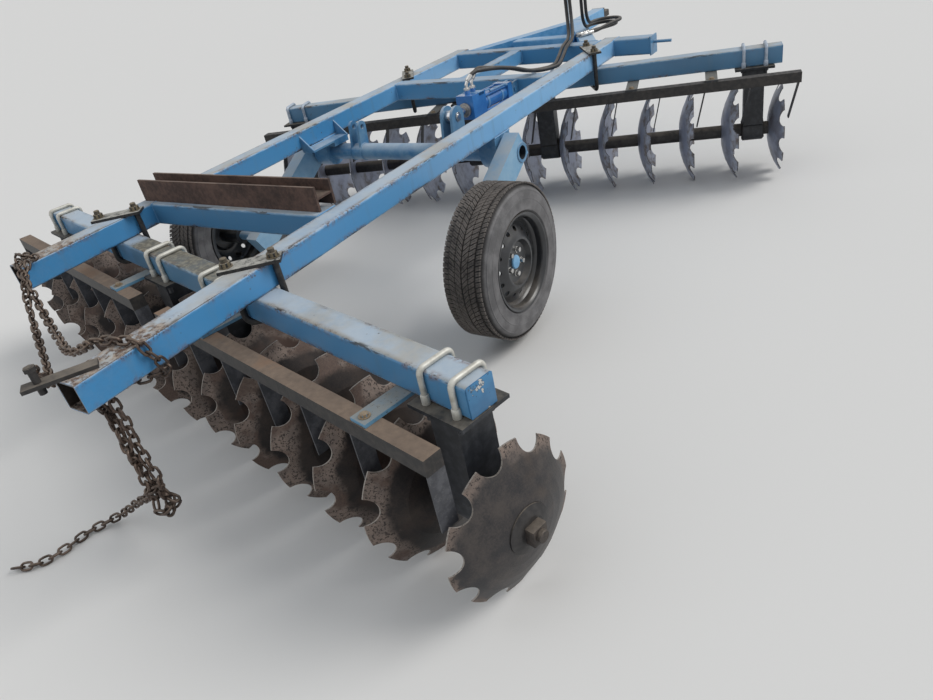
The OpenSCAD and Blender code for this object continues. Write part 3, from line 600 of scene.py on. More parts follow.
rim_black = plain_finish("rim_black", (0.010, 0.011, 0.013), (0.026, 0.028, 0.033), 0.3, dusty=0.3, scale=20,
                         bump=0.1, coat=0.35)
hose_rubber = plain_finish("hose_rubber", (0.010, 0.010, 0.011), (0.030, 0.030, 0.032), 0.45, dusty=0.25,
                           scale=60)


def standards_finish(name, bolt_dark, bolt_light):
    """Black standards whose bolts over the beam are pale."""
    f = Finish(name)
    height = f.parts(f.spot)[2]
    fine, broad = f.noise(30, 6, 0.65), f.noise(4, 4)
    black = f.mix(fine.rise(0.4, 0.7), (0.010, 0.012, 0.016), (0.032, 0.035, 0.042))
    dust = f.facing(0.4, 0.95) * (fine * 0.6 + broad * 0.6).rise(0.4, 0.75) * 0.7
    black = f.mix(dust, black, (0.190, 0.165, 0.130))
    smears = f.noise(7, 4, 0.6, stretch=(1, 1, 0.25)).rise(0.55, 0.75)
    black = f.mix(smears * 0.35, black, (0.085, 0.075, 0.062))
    bolt = f.mix(f.noise(24, 4, 0.6).rise(0.30, 0.60), bolt_dark, bolt_light)
    bolt = f.mix(f.noise(130, 4, 0.7).rise(0.60, 0.70) * 0.35, bolt, (0.160, 0.130, 0.095))
    is_bolt = height.rise(level(BEAM_Z + 0.2), level(BEAM_Z + 0.6))
    f.bump(fine, 0.12, 0.0008)
    return f.show(f.mix(is_bolt, black, bolt), (dust * 0.35 + 0.45).least(0.9), is_bolt * 0.35)


def scraper_finish(name, front):
    """A dusty bar, its straps in the frame's blue, and scrapers of dark slate. The front one is black."""
    bar_bottom, bar_top = 568, 623
    f = Finish(name)
    height = f.parts(f.spot)[2]
    fine, broad, up = f.noise(40, 6, 0.7), f.noise(5, 4), f.facing(0.5, 0.9)
    bar = f.mix(fine.rise(0.38, 0.66), (0.014, 0.013, 0.013), (0.036, 0.031, 0.028))
    if front:
        top = f.mix(fine.rise(0.4, 0.66), (0.040, 0.038, 0.038), (0.095, 0.088, 0.084))
        scraper = (0.020, 0.020, 0.023)
        strap = f.mix(fine.rise(0.4, 0.65), (0.016, 0.018, 0.022), (0.045, 0.048, 0.055))
    else:
        mottle = (fine * 0.4 + broad * 0.6).rise(0.42, 0.68)
        top = f.mix(mottle, (0.165, 0.122, 0.092), (0.235, 0.172, 0.125))
        top = f.mix(broad.rise(0.56, 0.70) * 0.5, top, (0.215, 0.118, 0.066))
        scraper = f.mix(f.noise(22, 5, 0.7).rise(0.40, 0.62), (0.042, 0.044, 0.052), (0.080, 0.082, 0.092))
        scraper = f.mix(f.dots(110, 0.20) * 0.5, scraper, (0.150, 0.140, 0.130))
        strap = f.mix(broad.rise(0.35, 0.65), (0.075, 0.200, 0.330), (0.130, 0.290, 0.430))
    colour = f.mix(up * (fine + broad * 0.5).rise(0.42, 0.72, 0.75, 1.0), bar, top)
    colour = f.mix(height.rise(level(bar_bottom), level(bar_bottom - 0.4)), colour, scraper)
    dusty = up * (fine * 0.8 + 0.42).least(0.55 if front else 1.0)
    strap = f.mix(dusty, strap, (0.245, 0.240, 0.215))
    strap = f.mix(f.noise(90, 5, 0.7).rise(0.60, 0.66) * 0.8, strap, RUST_DARK)
    colour = f.mix(height.rise(level(bar_top + 0.1), level(bar_top + 0.4)), colour, strap)
    f.bump(fine, 0.5, 0.001)
    return f.show(colour, up.rise(0.0, 1.0, 0.55, 0.88))


def clamp_finish():
    """Black bent bars under pale dusty plates with dark edges."""
    f = Finish("clamp_paint")
    height = f.parts(f.spot)[2]
    fine = f.noise(45, 6, 0.7)
    up = f.facing(0.6, 0.9)
    black = f.mix(fine.rise(0.4, 0.65), (0.010, 0.010, 0.011), (0.040, 0.037, 0.036))
    pale = (fine + f.noise(9, 3) * 0.5).rise(0.55, 0.9)
    top = f.mix(pale, (0.140, 0.140, 0.135), (0.400, 0.388, 0.350))
    top = f.mix(f.noise(16, 5, 0.6).rise(0.60, 0.70), top, (0.060, 0.052, 0.046))
    plate = height.rise(level(TOP_Z + 0.2), level(TOP_Z + 0.6))
    f.bump(fine, 0.4, 0.001)
    return f.show(f.mix(plate * up * fine.rise(0.30, 0.45), black, top), up.rise(0.0, 1.0, 0.5, 0.85))


def disc_finish(name, centre, yaw, mid, front):
    """Earth-worn discs: a speckled band round the rim, a dark middle and bright cut edges."""
    turn = math.radians(yaw)
    f = Finish(name)
    x, y, z = f.parts(f.local(centre, (0, 0, yaw)))
    height = z - AXIS_Z / 1000
    radius = (y * y + height * height) ** 0.5
    outer = abs(x - mid / 1000).rise(1.52, 1.54)
    fine, broad = f.noise(170, 5, 0.7), f.noise(11, 5, 0.6)
    patch = f.noise(3.4, 3, 0.6)
    band = (radius + (broad - 0.5) * 0.08 + (patch - 0.5) * 0.10 - outer * 0.012).rise(0.206, 0.236)
    normal = f.parts(f.normal)
    edge = abs(normal[0] * math.cos(turn) + normal[1] * math.sin(turn)).rise(0.45, 0.25)
    if front:
        # Partly painted reflection: the front discs' worn bright steel gets a blue-grey tone, in the middle
        # and round the rim, standing for the sky it reflects
        middle = f.mix((broad + fine * 0.3).rise(0.60, 0.90), (0.300, 0.330, 0.420), (0.130, 0.120, 0.125))
        mottle = (f.noise(26, 4, 0.6) + fine * 0.2).rise(0.5, 0.8)
        rim = f.mix(mottle, (0.370, 0.400, 0.480), (0.180, 0.150, 0.135))
        edge_tone = (0.060, 0.058, 0.060)
        bare = 0.40 - band * 0.1
    else:
        mottle = (broad * 0.8 + fine * 0.35).rise(0.42, 0.72)
        middle = f.mix(mottle, (0.017, 0.015, 0.016), (0.041, 0.031, 0.027))
        middle = f.mix(patch.rise(0.52, 0.66) * 0.7, middle, (0.070, 0.040, 0.030))
        mottle = (broad * 0.7 + fine * 0.4).rise(0.42, 0.72)
        middle = f.mix(outer, middle, f.mix(mottle, (0.038, 0.037, 0.040), (0.084, 0.073, 0.068)))
        rim = f.mix(broad.rise(0.4, 0.6), (0.215, 0.165, 0.138), (0.150, 0.118, 0.102))
        speck = (fine * 0.45 + f.noise(95, 4, 0.75) * 0.75).rise(0.615, 0.665)
        rim = f.mix(speck, rim, (0.038, 0.029, 0.026))
        smooth = f.noise(6.5, 3, 0.6).rise(0.50, 0.60) * (1.0 - outer)
        smooth_tone = f.mix(fine.rise(0.35, 0.65), (0.070, 0.044, 0.036), (0.120, 0.078, 0.060))
        rim = f.mix(smooth * 0.85, rim, smooth_tone)
        edge_tone = (0.330, 0.300, 0.270)
        bare = (1.0 - band) * 0.35 + 0.20
    colour = f.mix(band, middle, rim)
    colour = f.mix(f.noise(5, 3).rise(0.58, 0.70) * 0.35, colour, (0.110, 0.082, 0.064))
    colour = f.mix(edge * fine.rise(0.30, 0.55), colour, edge_tone)
    f.bump(fine * 0.6 + broad * 0.4, 0.55, 0.0012)
    return f.show(colour, band * 0.28 + 0.42, bare)


def tyre_finish(side, sign):
    """Dusty rubber: a dark tread with pale earth on it, paler side walls, dark again by the rim."""
    f = Finish("tyre_rubber_" + side)
    x, y, z = f.parts(f.local(at(sign * WHEEL_FACE, AXLE_Y, AXLE_Z)))
    radius = (y * y + z * z) ** 0.5
    fine, broad = f.noise(120, 5, 0.7), f.noise(14, 4)
    rubber = f.mix((fine * 0.6 + broad * 0.5).rise(0.4, 0.7), (0.024, 0.023, 0.024), (0.050, 0.046, 0.045))
    wall = f.mix((broad + fine * 0.3).rise(0.5, 0.8), (0.088, 0.086, 0.089), (0.150, 0.146, 0.150))
    flank = radius.rise(0.334, 0.322)
    colour = f.mix(flank, rubber, wall)
    dusty = (fine * 0.7 + broad * 0.5).rise(0.42, 0.72, 0.25, 1.0) * radius.rise(0.3405, 0.3455)
    colour = f.mix(dusty * 0.8, colour, (0.185, 0.162, 0.145))
    colour = f.mix(radius.rise(0.236, 0.222) * 0.6, colour, (0.035, 0.034, 0.036))
    f.bump(fine, 0.35, 0.0006)
    return f.show(colour, flank.rise(0.0, 1.0, 0.85, 0.55))


def end_plate_finish():
    """Blue plates with a few flakes of pale primer, dark round each flake."""
    f = Finish("end_plate_paint", 0.4)
    flakes = f.noise(15, 4, 0.7)
    colour = f.mix(f.noise(9, 3).rise(0.4, 0.6), (0.040, 0.150, 0.300), (0.055, 0.200, 0.380))
    colour = f.mix(flakes.rise(0.570, 0.582) * 0.8, colour, (0.030, 0.040, 0.052))
    colour = f.mix(flakes.rise(0.585, 0.600), colour, (0.50, 0.50, 0.48))
    f.bump(f.noise(60, 5, 0.7), 0.3, 0.001)
    return f.show(colour)


standard_paint = {
    "rear": standards_finish("rear_standard_paint", (0.410, 0.395, 0.345), (0.600, 0.590, 0.540)),
    "front": standards_finish("front_standard_paint", (0.260, 0.310, 0.380), (0.430, 0.490, 0.570))}
clamp_paint = clamp_finish()
for material, names in (
        (blue_steel, ("drawbar_legs", "drawbar_cross", "tongue")),
        (lift_blue, ("lift_bracket_right", "lift_bracket_left", "cylinder_anchor", "hose_stand")),
        (torque_blue, ("torque_tube",)),
        (arm_blue, ("wheel_arm_right", "wheel_arm_left")),
        (clamp_paint, ("clamps_rear", "clamps_front")),
        (dark_iron, ("chain_plate", "hitch_eye")),
        (ballast_rust, ("ballast",)),
        (cylinder_blue, ("cylinder_barrel",)),
        (rod_chrome, ("cylinder_rod",))):
    for node in names:
        paint_node(node, material)
for gang, centre, yaw, mid in (("rear", at(0, REAR_Y, 0), REAR_YAW, REAR_DISCS[0]),
                               ("front", at(0, FRONT_Y, 0), FRONT_YAW, FRONT_DISCS[0])):
    front = gang == "front"
    disc_tone = disc_finish(gang + "_disc_steel", centre, yaw, mid, front)
    bar_tone = scraper_finish(gang + "_scraper_paint", front)
    for side in ("right", "left"):
        paint_node(f"standards_{gang}_{side}", standard_paint[gang])
        paint_node(f"scraper_bar_{gang}_{side}", bar_tone)
        paint_node(f"axle_{gang}_{side}", dark_iron)
        paint_node(f"discs_{gang}_{side}", disc_tone)

# Hoses: steel elbows on the cylinder's two ports, hoses over the stand, couplers on the drawbar


def cylinder_point(x, z):
    """A place at a distance along the cylinder and a height above its axis."""
    tilt = math.radians(CYLINDER_TILT)
    y = CYLINDER_Y - x * math.cos(tilt) + z * math.sin(tilt)
    return (LEVER_X, y, CYLINDER_Z + x * math.sin(tilt) + z * math.cos(tilt))


def arc(first, last, step):
    """Angles from first to last, both in degrees, as radians."""
    return [math.radians(first + (last - first) * k / step) for k in range(step + 1)]


# Over the stand, then down, forwards, and back in a level loop to the coupler
ARCH_R, BEND, LEVEL = 93, 100, 849.3
DROP, LOOP_FROM, LOOP_MID = (262, 315), math.radians(95.9), (351.2, 424.8)
ARCH = [(236 + 26 * (1 - a / math.pi), 222 + ARCH_R * math.cos(a), 1161.3 + ARCH_R * math.sin(a))
        for a in arc(180, 0, 9)]
FOOT_BEND = [(DROP[0] + BEND * (1 - math.cos(a)) * math.cos(LOOP_FROM),
              DROP[1] + BEND * (1 - math.cos(a)) * math.sin(LOOP_FROM),
              LEVEL + BEND * (1 - math.sin(a))) for a in arc(0, 90, 4)]
LOOP = [(LOOP_MID[0] - BEND * math.sin(a), LOOP_MID[1] + BEND * math.cos(a), LEVEL) for a in arc(72, -120, 8)]
# A point on the hoses' way; beyond it they lie on the frame
BLEND_END = (385, -930, 905)
HOSE_WAY = [
    (350, -1100, 954), (366, -1010, 931), BLEND_END, (400, -830, 868), (412, -730, 842), (424, -620, 824),
    (420, -520, 812), (402, -430, 808), (370, -310, 824), (338, -190, 846), (318, -100, 853), (302, -30, 858),
    (284, 30, 880), (264, 76, 925), (248, 108, 985), (239, 125, 1060), (236, 129, 1115)] + ARCH + [
    (*DROP, 1100), (*DROP, 1025)] + FOOT_BEND + LOOP + [
    (400.6, 311, LEVEL), (365.3, 250.5, LEVEL), (330, 190, LEVEL)]
# The outer hose's loop lies over the inner one and comes down to its coupler
RAISED = len(FOOT_BEND + LOOP)
LIFT = [0] * (len(HOSE_WAY) - RAISED - 3) + [25] * RAISED + [14, 3, 0]
OUTER_BESIDE = Vector((34, -10, 0))
# From each port's elbow the hose leans forwards: points from its mouth, along the lean and up
RISE = ((28.4, 19.9), (62, 28.9), (96.6, 25.9))
COUPLER = [(0.1, -30), (13.2, -30), (13.6, -26), (13.6, 2), (11.5, 4), (11.5, 8), (13.5, 9), (13.5, 16),
           (12, 18), (12, 30), (13.8, 31), (13.8, 52), (13, 54), (13, 66), (11, 69.5), (6, 69.5), (5, 60),
           (0.1, 60)]
SLEEVE = [(0.1, -6), (12, -6), (13.8, -3), (13.8, 30), (12.2, 32), (0.1, 32)]


def towards(spot, run):
    """A move to a spot, with Z along a run."""
    return Matrix.Translation(spot) @ run.to_track_quat("Z", "Y").to_matrix().to_4x4()


for i, (name, port_x, port_turn, mouth_x) in enumerate((("inner", 385, 0, 0), ("outer", 440, -19, 6))):
    port = Vector(cylinder_point(port_x, 92.3))
    lean = Matrix.Rotation(math.radians(port_turn), 3, "Z") @ Vector((0, 1, 0))
    mouth = port + Vector((mouth_x, 14, 47))
    steps = [mouth] + [mouth + lean * far + Vector((0, 0, rise)) for far, rise in RISE]
    steps += [Vector(p) + (OUTER_BESIDE + Vector((0, 0, lift))) * i for p, lift in zip(HOSE_WAY, LIFT)]
    way = smooth_way([at(*p) for p in steps], 5)
    hose = fitted(rod(way, 11, 4), f"hose_{name}_line", hose_rubber, None, ("hose_" + name,),
                  angle=60)
    coupler = joined([turned(COUPLER, 28), hexagon(14.6, 8, 1.0, 8)])
    coupler = moved(coupler, towards(way[-1], (way[-1] - way[-2]).normalized()))
    coupler = fitted(coupler, "coupler_" + name, bright_steel, stands_for=("hose_couplers",))
    start, up_way, foot = way[0], (way[1] - way[0]).normalized(), at(*port)
    bend = rounded([foot - mm(0, 0, 4), foot + mm(0, 1, 26), start - up_way * 0.004], 0.016)
    elbow = rod(bend, 8.5, 3)
    sleeve = moved(turned(SLEEVE, 28), towards(start, up_way))
    nut = moved(hexagon(16, 15, 1.5), Matrix.Translation(foot - mm(0, 0, 3)))
    fitted(joined([elbow, sleeve, nut]), "port_elbow_" + name, bright_steel, "cylinder_barrel")
    at(*BLEND_END)
    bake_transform(hose)
    length = sum((b - a).length for a, b in zip(way, way[1:]))

# Lift cylinder: nuts on the tie rods, gland, straps, pipe, head and pin rings

GLAND = [(20.4, 0), (34, 0), (36, 2), (36, 12), (33, 16), (24, 17), (22, 19), (20.4, 19)]
BAND = [(44.2, -9), (45.6, -9), (46.4, -8), (46.4, 8), (45.6, 9), (44.2, 9)]
PIPE = [(345, 50, 66), (300, 50, 66), (290, 48, 52), (130, 48, 52), (112, 48, 45), (97, 46, 44)]
PIN_RING = [(14.2, 0), (22, 0), (23, 1), (23, 4), (22, 5), (14.2, 5)]
corners = [ON_CYLINDER @ shift(52, y, z) @ spin_y(-90) for y in (-40, 40) for z in (-40, 40)]
nuts = repeated(hexagon(13, 10, 1.2), corners)
gland = moved(turned(GLAND, 40), ON_CYLINDER @ shift(478, 0, 0) @ spin_y(90))
fitted(joined([nuts, gland]), "cylinder_nuts", dull_steel, "cylinder_barrel")
bands = repeated(turned(BAND, 48), [ON_CYLINDER @ shift(x, 0, 0) @ spin_y(90) for x in (150, 300)])
pipe = rod([ON_CYLINDER @ mm(*p) for p in rounded(PIPE, 12)], 5, 3)
head = moved(block((60, 104, 22), 4), ON_CYLINDER @ shift(384, 0, 62))
fitted(joined([bands, pipe, head]), "cylinder_trim", trim_blue, "cylinder_barrel")
ring_places = [place(LEVER_X + side * 38.6, -1520, 820) @ spin_y(side * 90) for side in (-1, 1)]
fitted(repeated(turned(PIN_RING, 36), ring_places), "rod_pin_rings", bright_steel, "cylinder_rod")

# Chain: one link, laid along the rows of the source

OVER, FLOOR_Z = 849, -12.8
CHAIN_WAYS = [
    [(-500, -3370, OVER), (-600, -3372, 851), (-645, -3376, 835), (-647, -3380, 700)],
    [(-560, -3410, OVER), (-500, -3450, 846), (-250, -3550, 745), (0, -3645, 720), (250, -3730, 760),
     (480, -3760, OVER)],
    [(-500, -3410, OVER), (-400, -3505, 800), (-200, -3620, 725), (100, -3760, 700), (330, -3860, 740),
     (462, -3925, 862), (497, -3932, 868)],
    [(470, -3745, OVER), (560, -3722, 852), (622, -3704, 845), (641, -3690, 800), (640, -3668, 724),
     (545, -3765, 718), (500, -3788, 690), (512, -3790, 600), (506, -3792, 500), (512, -3790, 420)],
    [(488, -3860, 720), (476, -3815, 640), (484, -3812, 520), (482, -3812, 400)],
    [(512, -3790, 430), (540, -3800, 340), (470, -3812, 300), (530, -3775, 250), (488, -3800, 190)],
    [(498, -3842, 712), (470, -3800, 600), (500, -3822, 480), (466, -3794, 380), (520, -3800, 300),
     (488, -3780, 240), (515, -3812, 190)],
    [(500, -3780, 300), (462, -3800, 262), (478, -3822, 215), (520, -3800, 235), (505, -3776, 275),
     (478, -3790, 300)],
    [(482, -3812, 410), (470, -3812, 300), (370, -3795, 215), (250, -3778, 140), (150, -3785, 70),
     (50, -3800, 8), (-20, -3890, FLOOR_Z), (-32, -3990, FLOOR_Z), (-62, -4070, FLOOR_Z),
     (-140, -4130, FLOOR_Z)]]
LINK_R, LINK_WIRE, LINK_STRETCH, LINK_PITCH, FIRST_LINK = 0.0135, 0.0048, 8.5, 0.0345, 0.017
link = primitive(bpy.ops.mesh.primitive_torus_add, major_radius=LINK_R, minor_radius=LINK_WIRE,
                 major_segments=16, minor_segments=7)
for way in (-1, 1):
    edit_only(link, "VERT", lambda point: point.co.x * way > 0.0005)
    bpy.ops.transform.translate(value=mm(way * LINK_STRETCH, 0, 0))
    bpy.ops.object.mode_set(mode="OBJECT")
link_places = []
for points in CHAIN_WAYS:
    way = smooth_way([at(*p) for p in points], 14)
    across = Vector((0.3, 0.2, 1.0))
    walked, due, k = 0.0, FIRST_LINK, 0
    for a, b in zip(way, way[1:]):
        step = (b - a).length
        run = (b - a).normalized()
        while due <= walked + step:
            spot = a.lerp(b, (due - walked) / step)
            across = (across - run * across.dot(run)).normalized()
            tilt = 45 + (k % 2) * 90 + dice.uniform(-14, 14)
            side_way = Matrix.Rotation(math.radians(tilt), 4, run) @ across
            turn = Matrix((run, side_way, run.cross(side_way))).transposed().to_4x4()
            link_places.append(Matrix.Translation(spot) @ turn)
            due += LINK_PITCH
            k += 1
        walked += step
fitted(repeated(link, link_places), "chain_links", rusty_iron, stands_for=("chain",),
       angle=60)

# Wheels: carcass and tread, vented rim, nuts and hub cap

TYRE = [(203, -16), (222, -8), (228, -1), (231, 3), (235, 3.6), (239, 2.2), (258, 4), (276, 5.2), (277, 6),
        (281, 6), (282, 5), (300, 3.6), (312, 0.6), (314, 1.2), (317, 0.6), (318, -1.6), (328, -8),
        (335, -16), (338.5, -25), (340, -40), (340.5, -75), (340.5, -105)]
TYRE = TYRE + [(r, -TYRE_W - z) for r, z in TYRE[-2::-1]]
RIM = [(0.05, -56), (HUB_BORE, -56), (HUB_BORE, -200), (48, -200), (48, -54), (80, -54), (88, -51),
       (100, -27), (112, -27), (131, -37), (168, -59), (184, -66), (186, -72), (186, -104), (199, -120),
       (199, -209), (202, -210), (220, -210), (221, -208), (221, -203), (219, -201), (204, -194),
       (203, -190), (203, -20), (204, -16), (219, -9), (221.5, -7), (222, -3), (221, -0.5), (218, 0),
       (214, -1), (210, -5), (203, -9), (200, -14), (198.5, -22), (197, -40), (190, -46), (187, -54),
       (184, -60), (168, -53), (131, -31), (114, -21), (108, -19.5), (102, -20.5), (90, -44), (82, -47.5),
       (40, -48), (38.5, -46), (0.05, -46)]
HUB_CAP = [(31, -47), (31.5, -46), (31.5, -42), (29, -38), (20, -35.6), (0.05, -34.8)]
NUT_SEAT = [(12.6, 0), (15.5, 0), (15.5, 2), (12.6, 3)]
# Each lane of the tread: its start from the tyre's middle, width, slant, and how far it lags round the tyre
LANES = ((3.5, 27, 0.95, 0), (34.5, 26, 0.62, 26), (66, 25, 0.30, 44))
SLATS, SLAT, GAP, PITCHES, TREAD_R = 2, 8.0, 1.4, 96, 345.5
# A slat's length runs round the tyre, its width across it and its top outwards
OUTWARDS = Matrix(((0, 1, 0, 0), (1, 0, 0, 0), (0, 0, -1, 0), (0, 0, 0, 1)))
SLAT_AXES = spin_y(90) @ spin_z(180) @ OUTWARDS
VENTS, STUDS, STUD_R, STUD_FOOT = 15, 5, 56, -48


def tread_lane(low, wide, slant, lag, half):
    """One lane of slats round the tyre; half is -1 or 1 for the side of its middle."""
    slat = primitive(bpy.ops.mesh.primitive_cube_add, size=1, scale=mm(SLAT, wide, 9))
    edit_only(slat, "FACE", lambda face: face.normal.z > 0.9)
    bpy.ops.transform.resize(value=(0.86, 0.96, 1.0))
    bpy.ops.object.mode_set(mode="OBJECT")
    lean = Matrix.Identity(4)
    lean[0][1] = slant * half
    middle = low + wide / 2
    on_shoulder = middle > 70
    sink = -4.2 if on_shoulder else -1.2
    roll = spin_x(-half * 13 if on_shoulder else 0)
    seat = shift(TREAD_R + sink, 0, -TYRE_W / 2 + half * middle) @ SLAT_AXES @ roll @ lean
    moves = []
    for pitch in range(PITCHES):
        for k in range(SLATS):
            along = k * (SLAT + GAP) + lag
            moves.append(spin_z(360 * pitch / PITCHES + math.degrees(along / 346)) @ seat)
    return repeated(slat, moves)


for side, sign in (("right", 1), ("left", -1)):
    body, on_face = "wheel_" + side, on_wheel(sign)
    treads = [turned(TYRE, 144)] + [tread_lane(*lane, half) for lane in LANES for half in (-1, 1)]
    fitted(moved(joined(treads), on_face), "tread_tyre_" + side, tyre_finish(side, sign), body,
           ("tyre_" + side,), angle=28)
    rim = turned(RIM, 96)
    vent_places = [spin_z(24 * k) @ shift(150, 0, -90) for k in range(VENTS)]
    vents = repeated(hexagon(12, 70, 0.1, sides=24), vent_places)
    only(rim)
    cut = rim.modifiers.new("vents", "BOOLEAN")
    cut.operation = "DIFFERENCE"
    cut.solver = "EXACT"
    cut.object = vents
    bpy.ops.object.modifier_apply(modifier="vents")
    bpy.data.objects.remove(vents)
    fitted(moved(rim, on_face), "vented_rim_" + side, rim_black, body, ("rim_" + side,),
           angle=32)
    studs = [spin_z(72 * k) @ shift(STUD_R, 0, STUD_FOOT) for k in range(STUDS)]
    seats = repeated(turned(NUT_SEAT, 20), studs)
    wheel_nuts = repeated(hexagon(12.4, 17, 3.5), studs)
    fitted(moved(joined([wheel_nuts, seats]), on_face), "wheel_nuts_" + side, bright_steel, body)
    fitted(moved(turned(HUB_CAP, 40), on_face), "hub_cap_" + side, hub_blue, body)

# Gangs: axle nuts, sleeves on the bolts, bearing rings, bolts on the scrapers' straps

AXLE_TIP = [(20.5, 30), (20.5, 41), (18.5, 43.2), (0.05, 43.2)]
BOLT_SLEEVE = [(9.3, 0), (12.6, 0), (12.9, 1), (12.9, 27), (12.0, 29.5), (9.3, 31)]
BEARING_RING = [(39, 0), (60, 0), (62, 1.5), (62, 4), (60, 5.5), (46, 5.5), (44, 7), (39, 7)]
STRAP_WASHER = [(12.6, 0.1), (18, 0.1), (18, 2.4), (12.6, 2.6)]
# Each gang: its place, the middle of its standards, the middle and outer gap of its discs, the way they
# bulge, each standard's place in disc pitches with how far its post is beside that, and its straps
GANGS = {
    "rear": (ON_REAR, REAR_MID + 10, REAR_DISCS, 1,
             {"right": ((6, 0), (1, -30)), "left": ((-1, -30), (-6, -35))}, -190, (1385, 447, -340, -1150)),
    "front": (ON_FRONT, FRONT_MID - 35, FRONT_DISCS, -1,
              {"right": ((6, 0), (1, 0)), "left": ((-1, 0), (-6, 0))}, -222, (1300, 850, -400, -1150))}
for gang, (on_gang, plate_mid, (disc_mid, gap), bulge, plates, strap_y, straps) in GANGS.items():
    legs, ring_places = [], []
    for side, sign in (("right", 1), ("left", -1)):
        for step, post in plates[side]:
            s = plate_mid + step * PITCH
            legs += [on_gang @ shift(s + u, v, BEAM_Z) for u in (-60, 60) for v in (-59.3, 59.3)]
            ring_places += [on_gang @ shift(s + post + end * 55, 0, AXIS_Z) @ spin_y(end * 90)
                            for end in (-1, 1)]
        ends = []
        for n, way in ((0, sign), (COUNT - 1, -sign)):
            face = hub_place(disc_mid, gap, sign, n) + (5 if way * bulge > 0 else 0) * bulge
            ends.append(on_gang @ shift(face + way * 14, 0, AXIS_Z) @ spin_y(way * 90))
        nuts = repeated(hexagon(40.2, 31, 4, sides=4), [move @ spin_z(45) for move in ends])
        tips = repeated(turned(AXLE_TIP, 28), ends)
        fitted(joined([nuts, tips]), f"axle_nuts_{gang}_{side}", axle_iron, f"gang_{gang}_{side}")
    fitted(repeated(turned(BOLT_SLEEVE, 20), legs), f"bolt_sleeves_{gang}", standard_paint[gang])
    rings = repeated(turned(BEARING_RING, 40), ring_places)
    bolt_places = [move @ shift(52 * math.cos(a), 52 * math.sin(a), 4.6)
                   for move in ring_places for a in (0.8, 2.36, 3.93, 5.5)]
    fitted(joined([rings, repeated(hexagon(8, 5, 1), bolt_places)]), f"bearing_rings_{gang}", dark_iron)
    strap_places = [on_gang @ shift(s, strap_y, BEAM_Z) for s in straps]
    heads = repeated(hexagon(13.2, 10.8, 1.6), [move @ spin_z(17 * k) for k, move in enumerate(strap_places)])
    washers = repeated(turned(STRAP_WASHER, 24), strap_places)
    fitted(joined([heads, washers]), f"strap_bolts_{gang}", tan_bolt)

# Clamps: nuts, washers and threads on the bent bars, where a gang beam crosses a rail

CLAMP_LEG, CLAMP_TOP = 64, TOP_Z + 12
clamp_places = []
for gang_y, yaw, way in ((REAR_Y, -REAR_YAW, 1), (FRONT_Y, FRONT_YAW, -1)):
    turn = math.radians(yaw)
    leg_y = CLAMP_LEG / math.cos(turn) - CLAMP_LEG * math.tan(turn) * way
    reach = math.ceil(math.hypot(CLAMP_LEG, leg_y))
    face = round(way * math.degrees(math.atan2(leg_y, CLAMP_LEG)))
    for x in (-RAIL_X, RAIL_X):
        crossing = place(x, gang_y - x * math.tan(turn) * way, CLAMP_TOP, face)
        clamp_places += [crossing @ shift(end * reach, 0, 0) for end in (-1, 1)]
threads = []
for z in range(19, 33, 2):
    threads += [(11.6, z), (12.7, z + 0.7), (11.6, z + 1.4)]
washer = turned([(20.6, 0.1), (24, 0.1), (24, 3), (20.6, 3.4)], 28)
nut = joined([hexagon(20.8, 18.6, 2.5), washer, turned(threads + [(10.5, 33.6), (0.05, 33.6)], 24)])
fitted(repeated(nut, clamp_places), "clamp_nuts", olive_iron)

# Welds and end plates


def bead(points, ripple=5.0):
    """A weld bead through points in millimetres, rippled along its length."""
    row = []
    for a, b in zip(points, points[1:]):
        a, b = Vector(a), Vector(b)
        count = max(2, int((b - a).length / ripple))
        row += [a.lerp(b, k / count) for k in range(count)]
    row.append(Vector(points[-1]))
    return rod([at(*p) for p in row], 4.2, 1, (1.0, 0.82, 0.95, 0.78))


def end_seam(one, other, low, high):
    """A bead up one side of a tube's end, over its top and down the other side."""
    return bead([(*one, low), (*one, high), (*other, high), (*other, low)])


INNER_X, OUTER_X = RAIL_X - TUBE / 2, RAIL_X + TUBE / 2
SEAM_TOP = TOP_Z - 1
seams = [end_seam((x, y - 50), (x, y + 50), 742, SEAM_TOP) for y in CROSS_Y for x in (-INNER_X, INNER_X)]
seams.append(end_seam((OUTER_X, -50), (OUTER_X, 50), 742, SEAM_TOP))
seams += [end_seam((-85, y), (-5, y), 757, 832) for y in (-763, -110)]
for side in (-1, 1):
    inner, outer = side * INNER_X, side * OUTER_X
    seams.append(end_seam((side * 373, -10), (side * 501, -10), 738, SEAM_TOP))
    seams += [bead([(x, -1615, RAIL_Z), (x, -1465, RAIL_Z)]) for x in (inner, outer)]
    seams.append(bead([(inner, -1790, RAIL_Z - 4), (inner, -1490, RAIL_Z - 4)]))
    seams.append(bead([(inner, -1786, 806), (side * 446, -1786, RAIL_Z - 4)]))
seams.append(end_seam((-50, 783), (50, 783), 738, SEAM_TOP))
fitted(joined(seams), "frame_welds", blue_steel, angle=60)

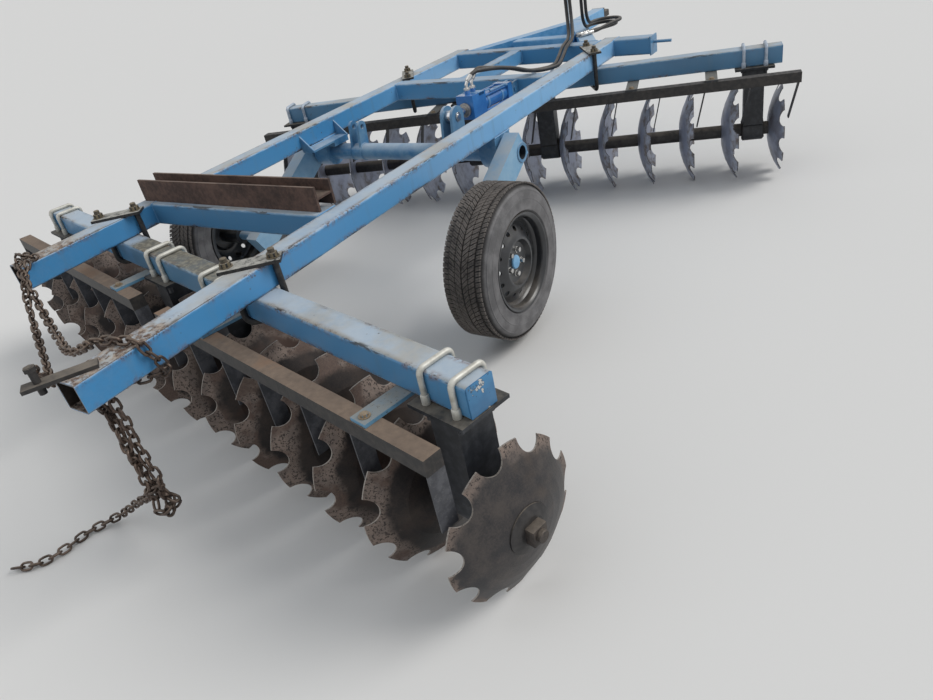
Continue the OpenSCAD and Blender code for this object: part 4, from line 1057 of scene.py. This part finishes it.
TUBE_RING = [(42, 0), (42, 3.5), (44, 5), (49, 5), (50, 4), (50, 0)]
SEAM_R, LEVER_HALF, ARM_IN, ARM_OUT = 46.5, 38.5, 644, 725
round_tube = [(TORQUE_Y + SEAM_R * math.cos(a), TORQUE_Z + SEAM_R * math.sin(a)) for a in arc(0, 360, 30)]
lift_seams = [bead([(x, y, z) for y, z in round_tube], 8)
              for x in (LEVER_X - LEVER_HALF, LEVER_X + LEVER_HALF, -LEVER_X - LEVER_HALF,
                        -LEVER_X + LEVER_HALF, ARM_IN, -ARM_IN)]
tube_ends = [place(side * ARM_OUT, TORQUE_Y, TORQUE_Z) @ spin_y(side * 90) for side in (-1, 1)]
fitted(joined(lift_seams + [repeated(turned(TUBE_RING, 40), tube_ends)]), "lift_welds", lift_blue,
       "wheel_lift", angle=60)

PLATE, THIN, PLATE_EDGE, BEAM_HALF = 97, 5, 2.2, 1612
plates = [moved(block((THIN, PLATE, PLATE), PLATE_EDGE), on_gang @ shift(mid + end * BEAM_HALF, 0, BEAM_MID))
          for on_gang, mid in ((ON_REAR, REAR_MID), (ON_FRONT, FRONT_MID)) for end in (-1, 1)]
plates += [moved(block((PLATE, THIN, PLATE), PLATE_EDGE), place(x, 52.4, RAIL_MID))
           for x in (-RAIL_X, RAIL_X)]
fitted(joined(plates), "beam_end_plates", end_plate_finish())

# Grease nipples on the brackets that carry the torque tube

NIPPLE = [(0.05, 5), (3.4, 5), (3.4, 8), (4.2, 9.5), (4.2, 12), (2.4, 14), (0.05, 14)]
nipple = joined([hexagon(6, 5, 0.8), turned(NIPPLE, 14)])
spots = [place(side * RAIL_X, -1470, 650) @ spin_x(-90) for side in (-1, 1)]
fitted(repeated(nipple, spots), "grease_nipples", dull_steel)

# Floor and sky

bpy.ops.object.select_all(action="DESELECT")
bpy.ops.mesh.primitive_plane_add(size=6000, location=(0, 0, -0.0005))
floor = bpy.context.object
floor.name = "floor"
floor_finish = Finish("pale_floor", 0.9, specular=0.2)
floor.data.materials.append(floor_finish.show((0.70, 0.69, 0.675)))

world = bpy.data.worlds.new("sky")
world.use_nodes = True
bpy.context.scene.world = world
sky = world.node_tree
light = sky.nodes["Background"]
light.inputs[0].default_value = (0.92, 0.96, 1.0, 1.0)
light.inputs[1].default_value = 0.5
seen = sky.nodes.new("ShaderNodeBackground")
seen.inputs[0].default_value = (0.655, 0.655, 0.65, 1.0)
rays = sky.nodes.new("ShaderNodeLightPath")
either = sky.nodes.new("ShaderNodeMixShader")
# The camera and shiny metal see a plain background; all else is lit by the sky's light
shown = rays.outputs["Is Camera Ray"]
for kind in ("Is Glossy Ray", "Is Transmission Ray"):
    most = sky.nodes.new("ShaderNodeMath")
    most.operation = "MAXIMUM"
    sky.links.new(shown, most.inputs[0])
    sky.links.new(rays.outputs[kind], most.inputs[1])
    shown = most.outputs[0]
sky.links.new(shown, either.inputs[0])
sky.links.new(light.outputs[0], either.inputs[1])
sky.links.new(seen.outputs[0], either.inputs[2])
sky.links.new(either.outputs[0], sky.nodes["World Output"].inputs["Surface"])
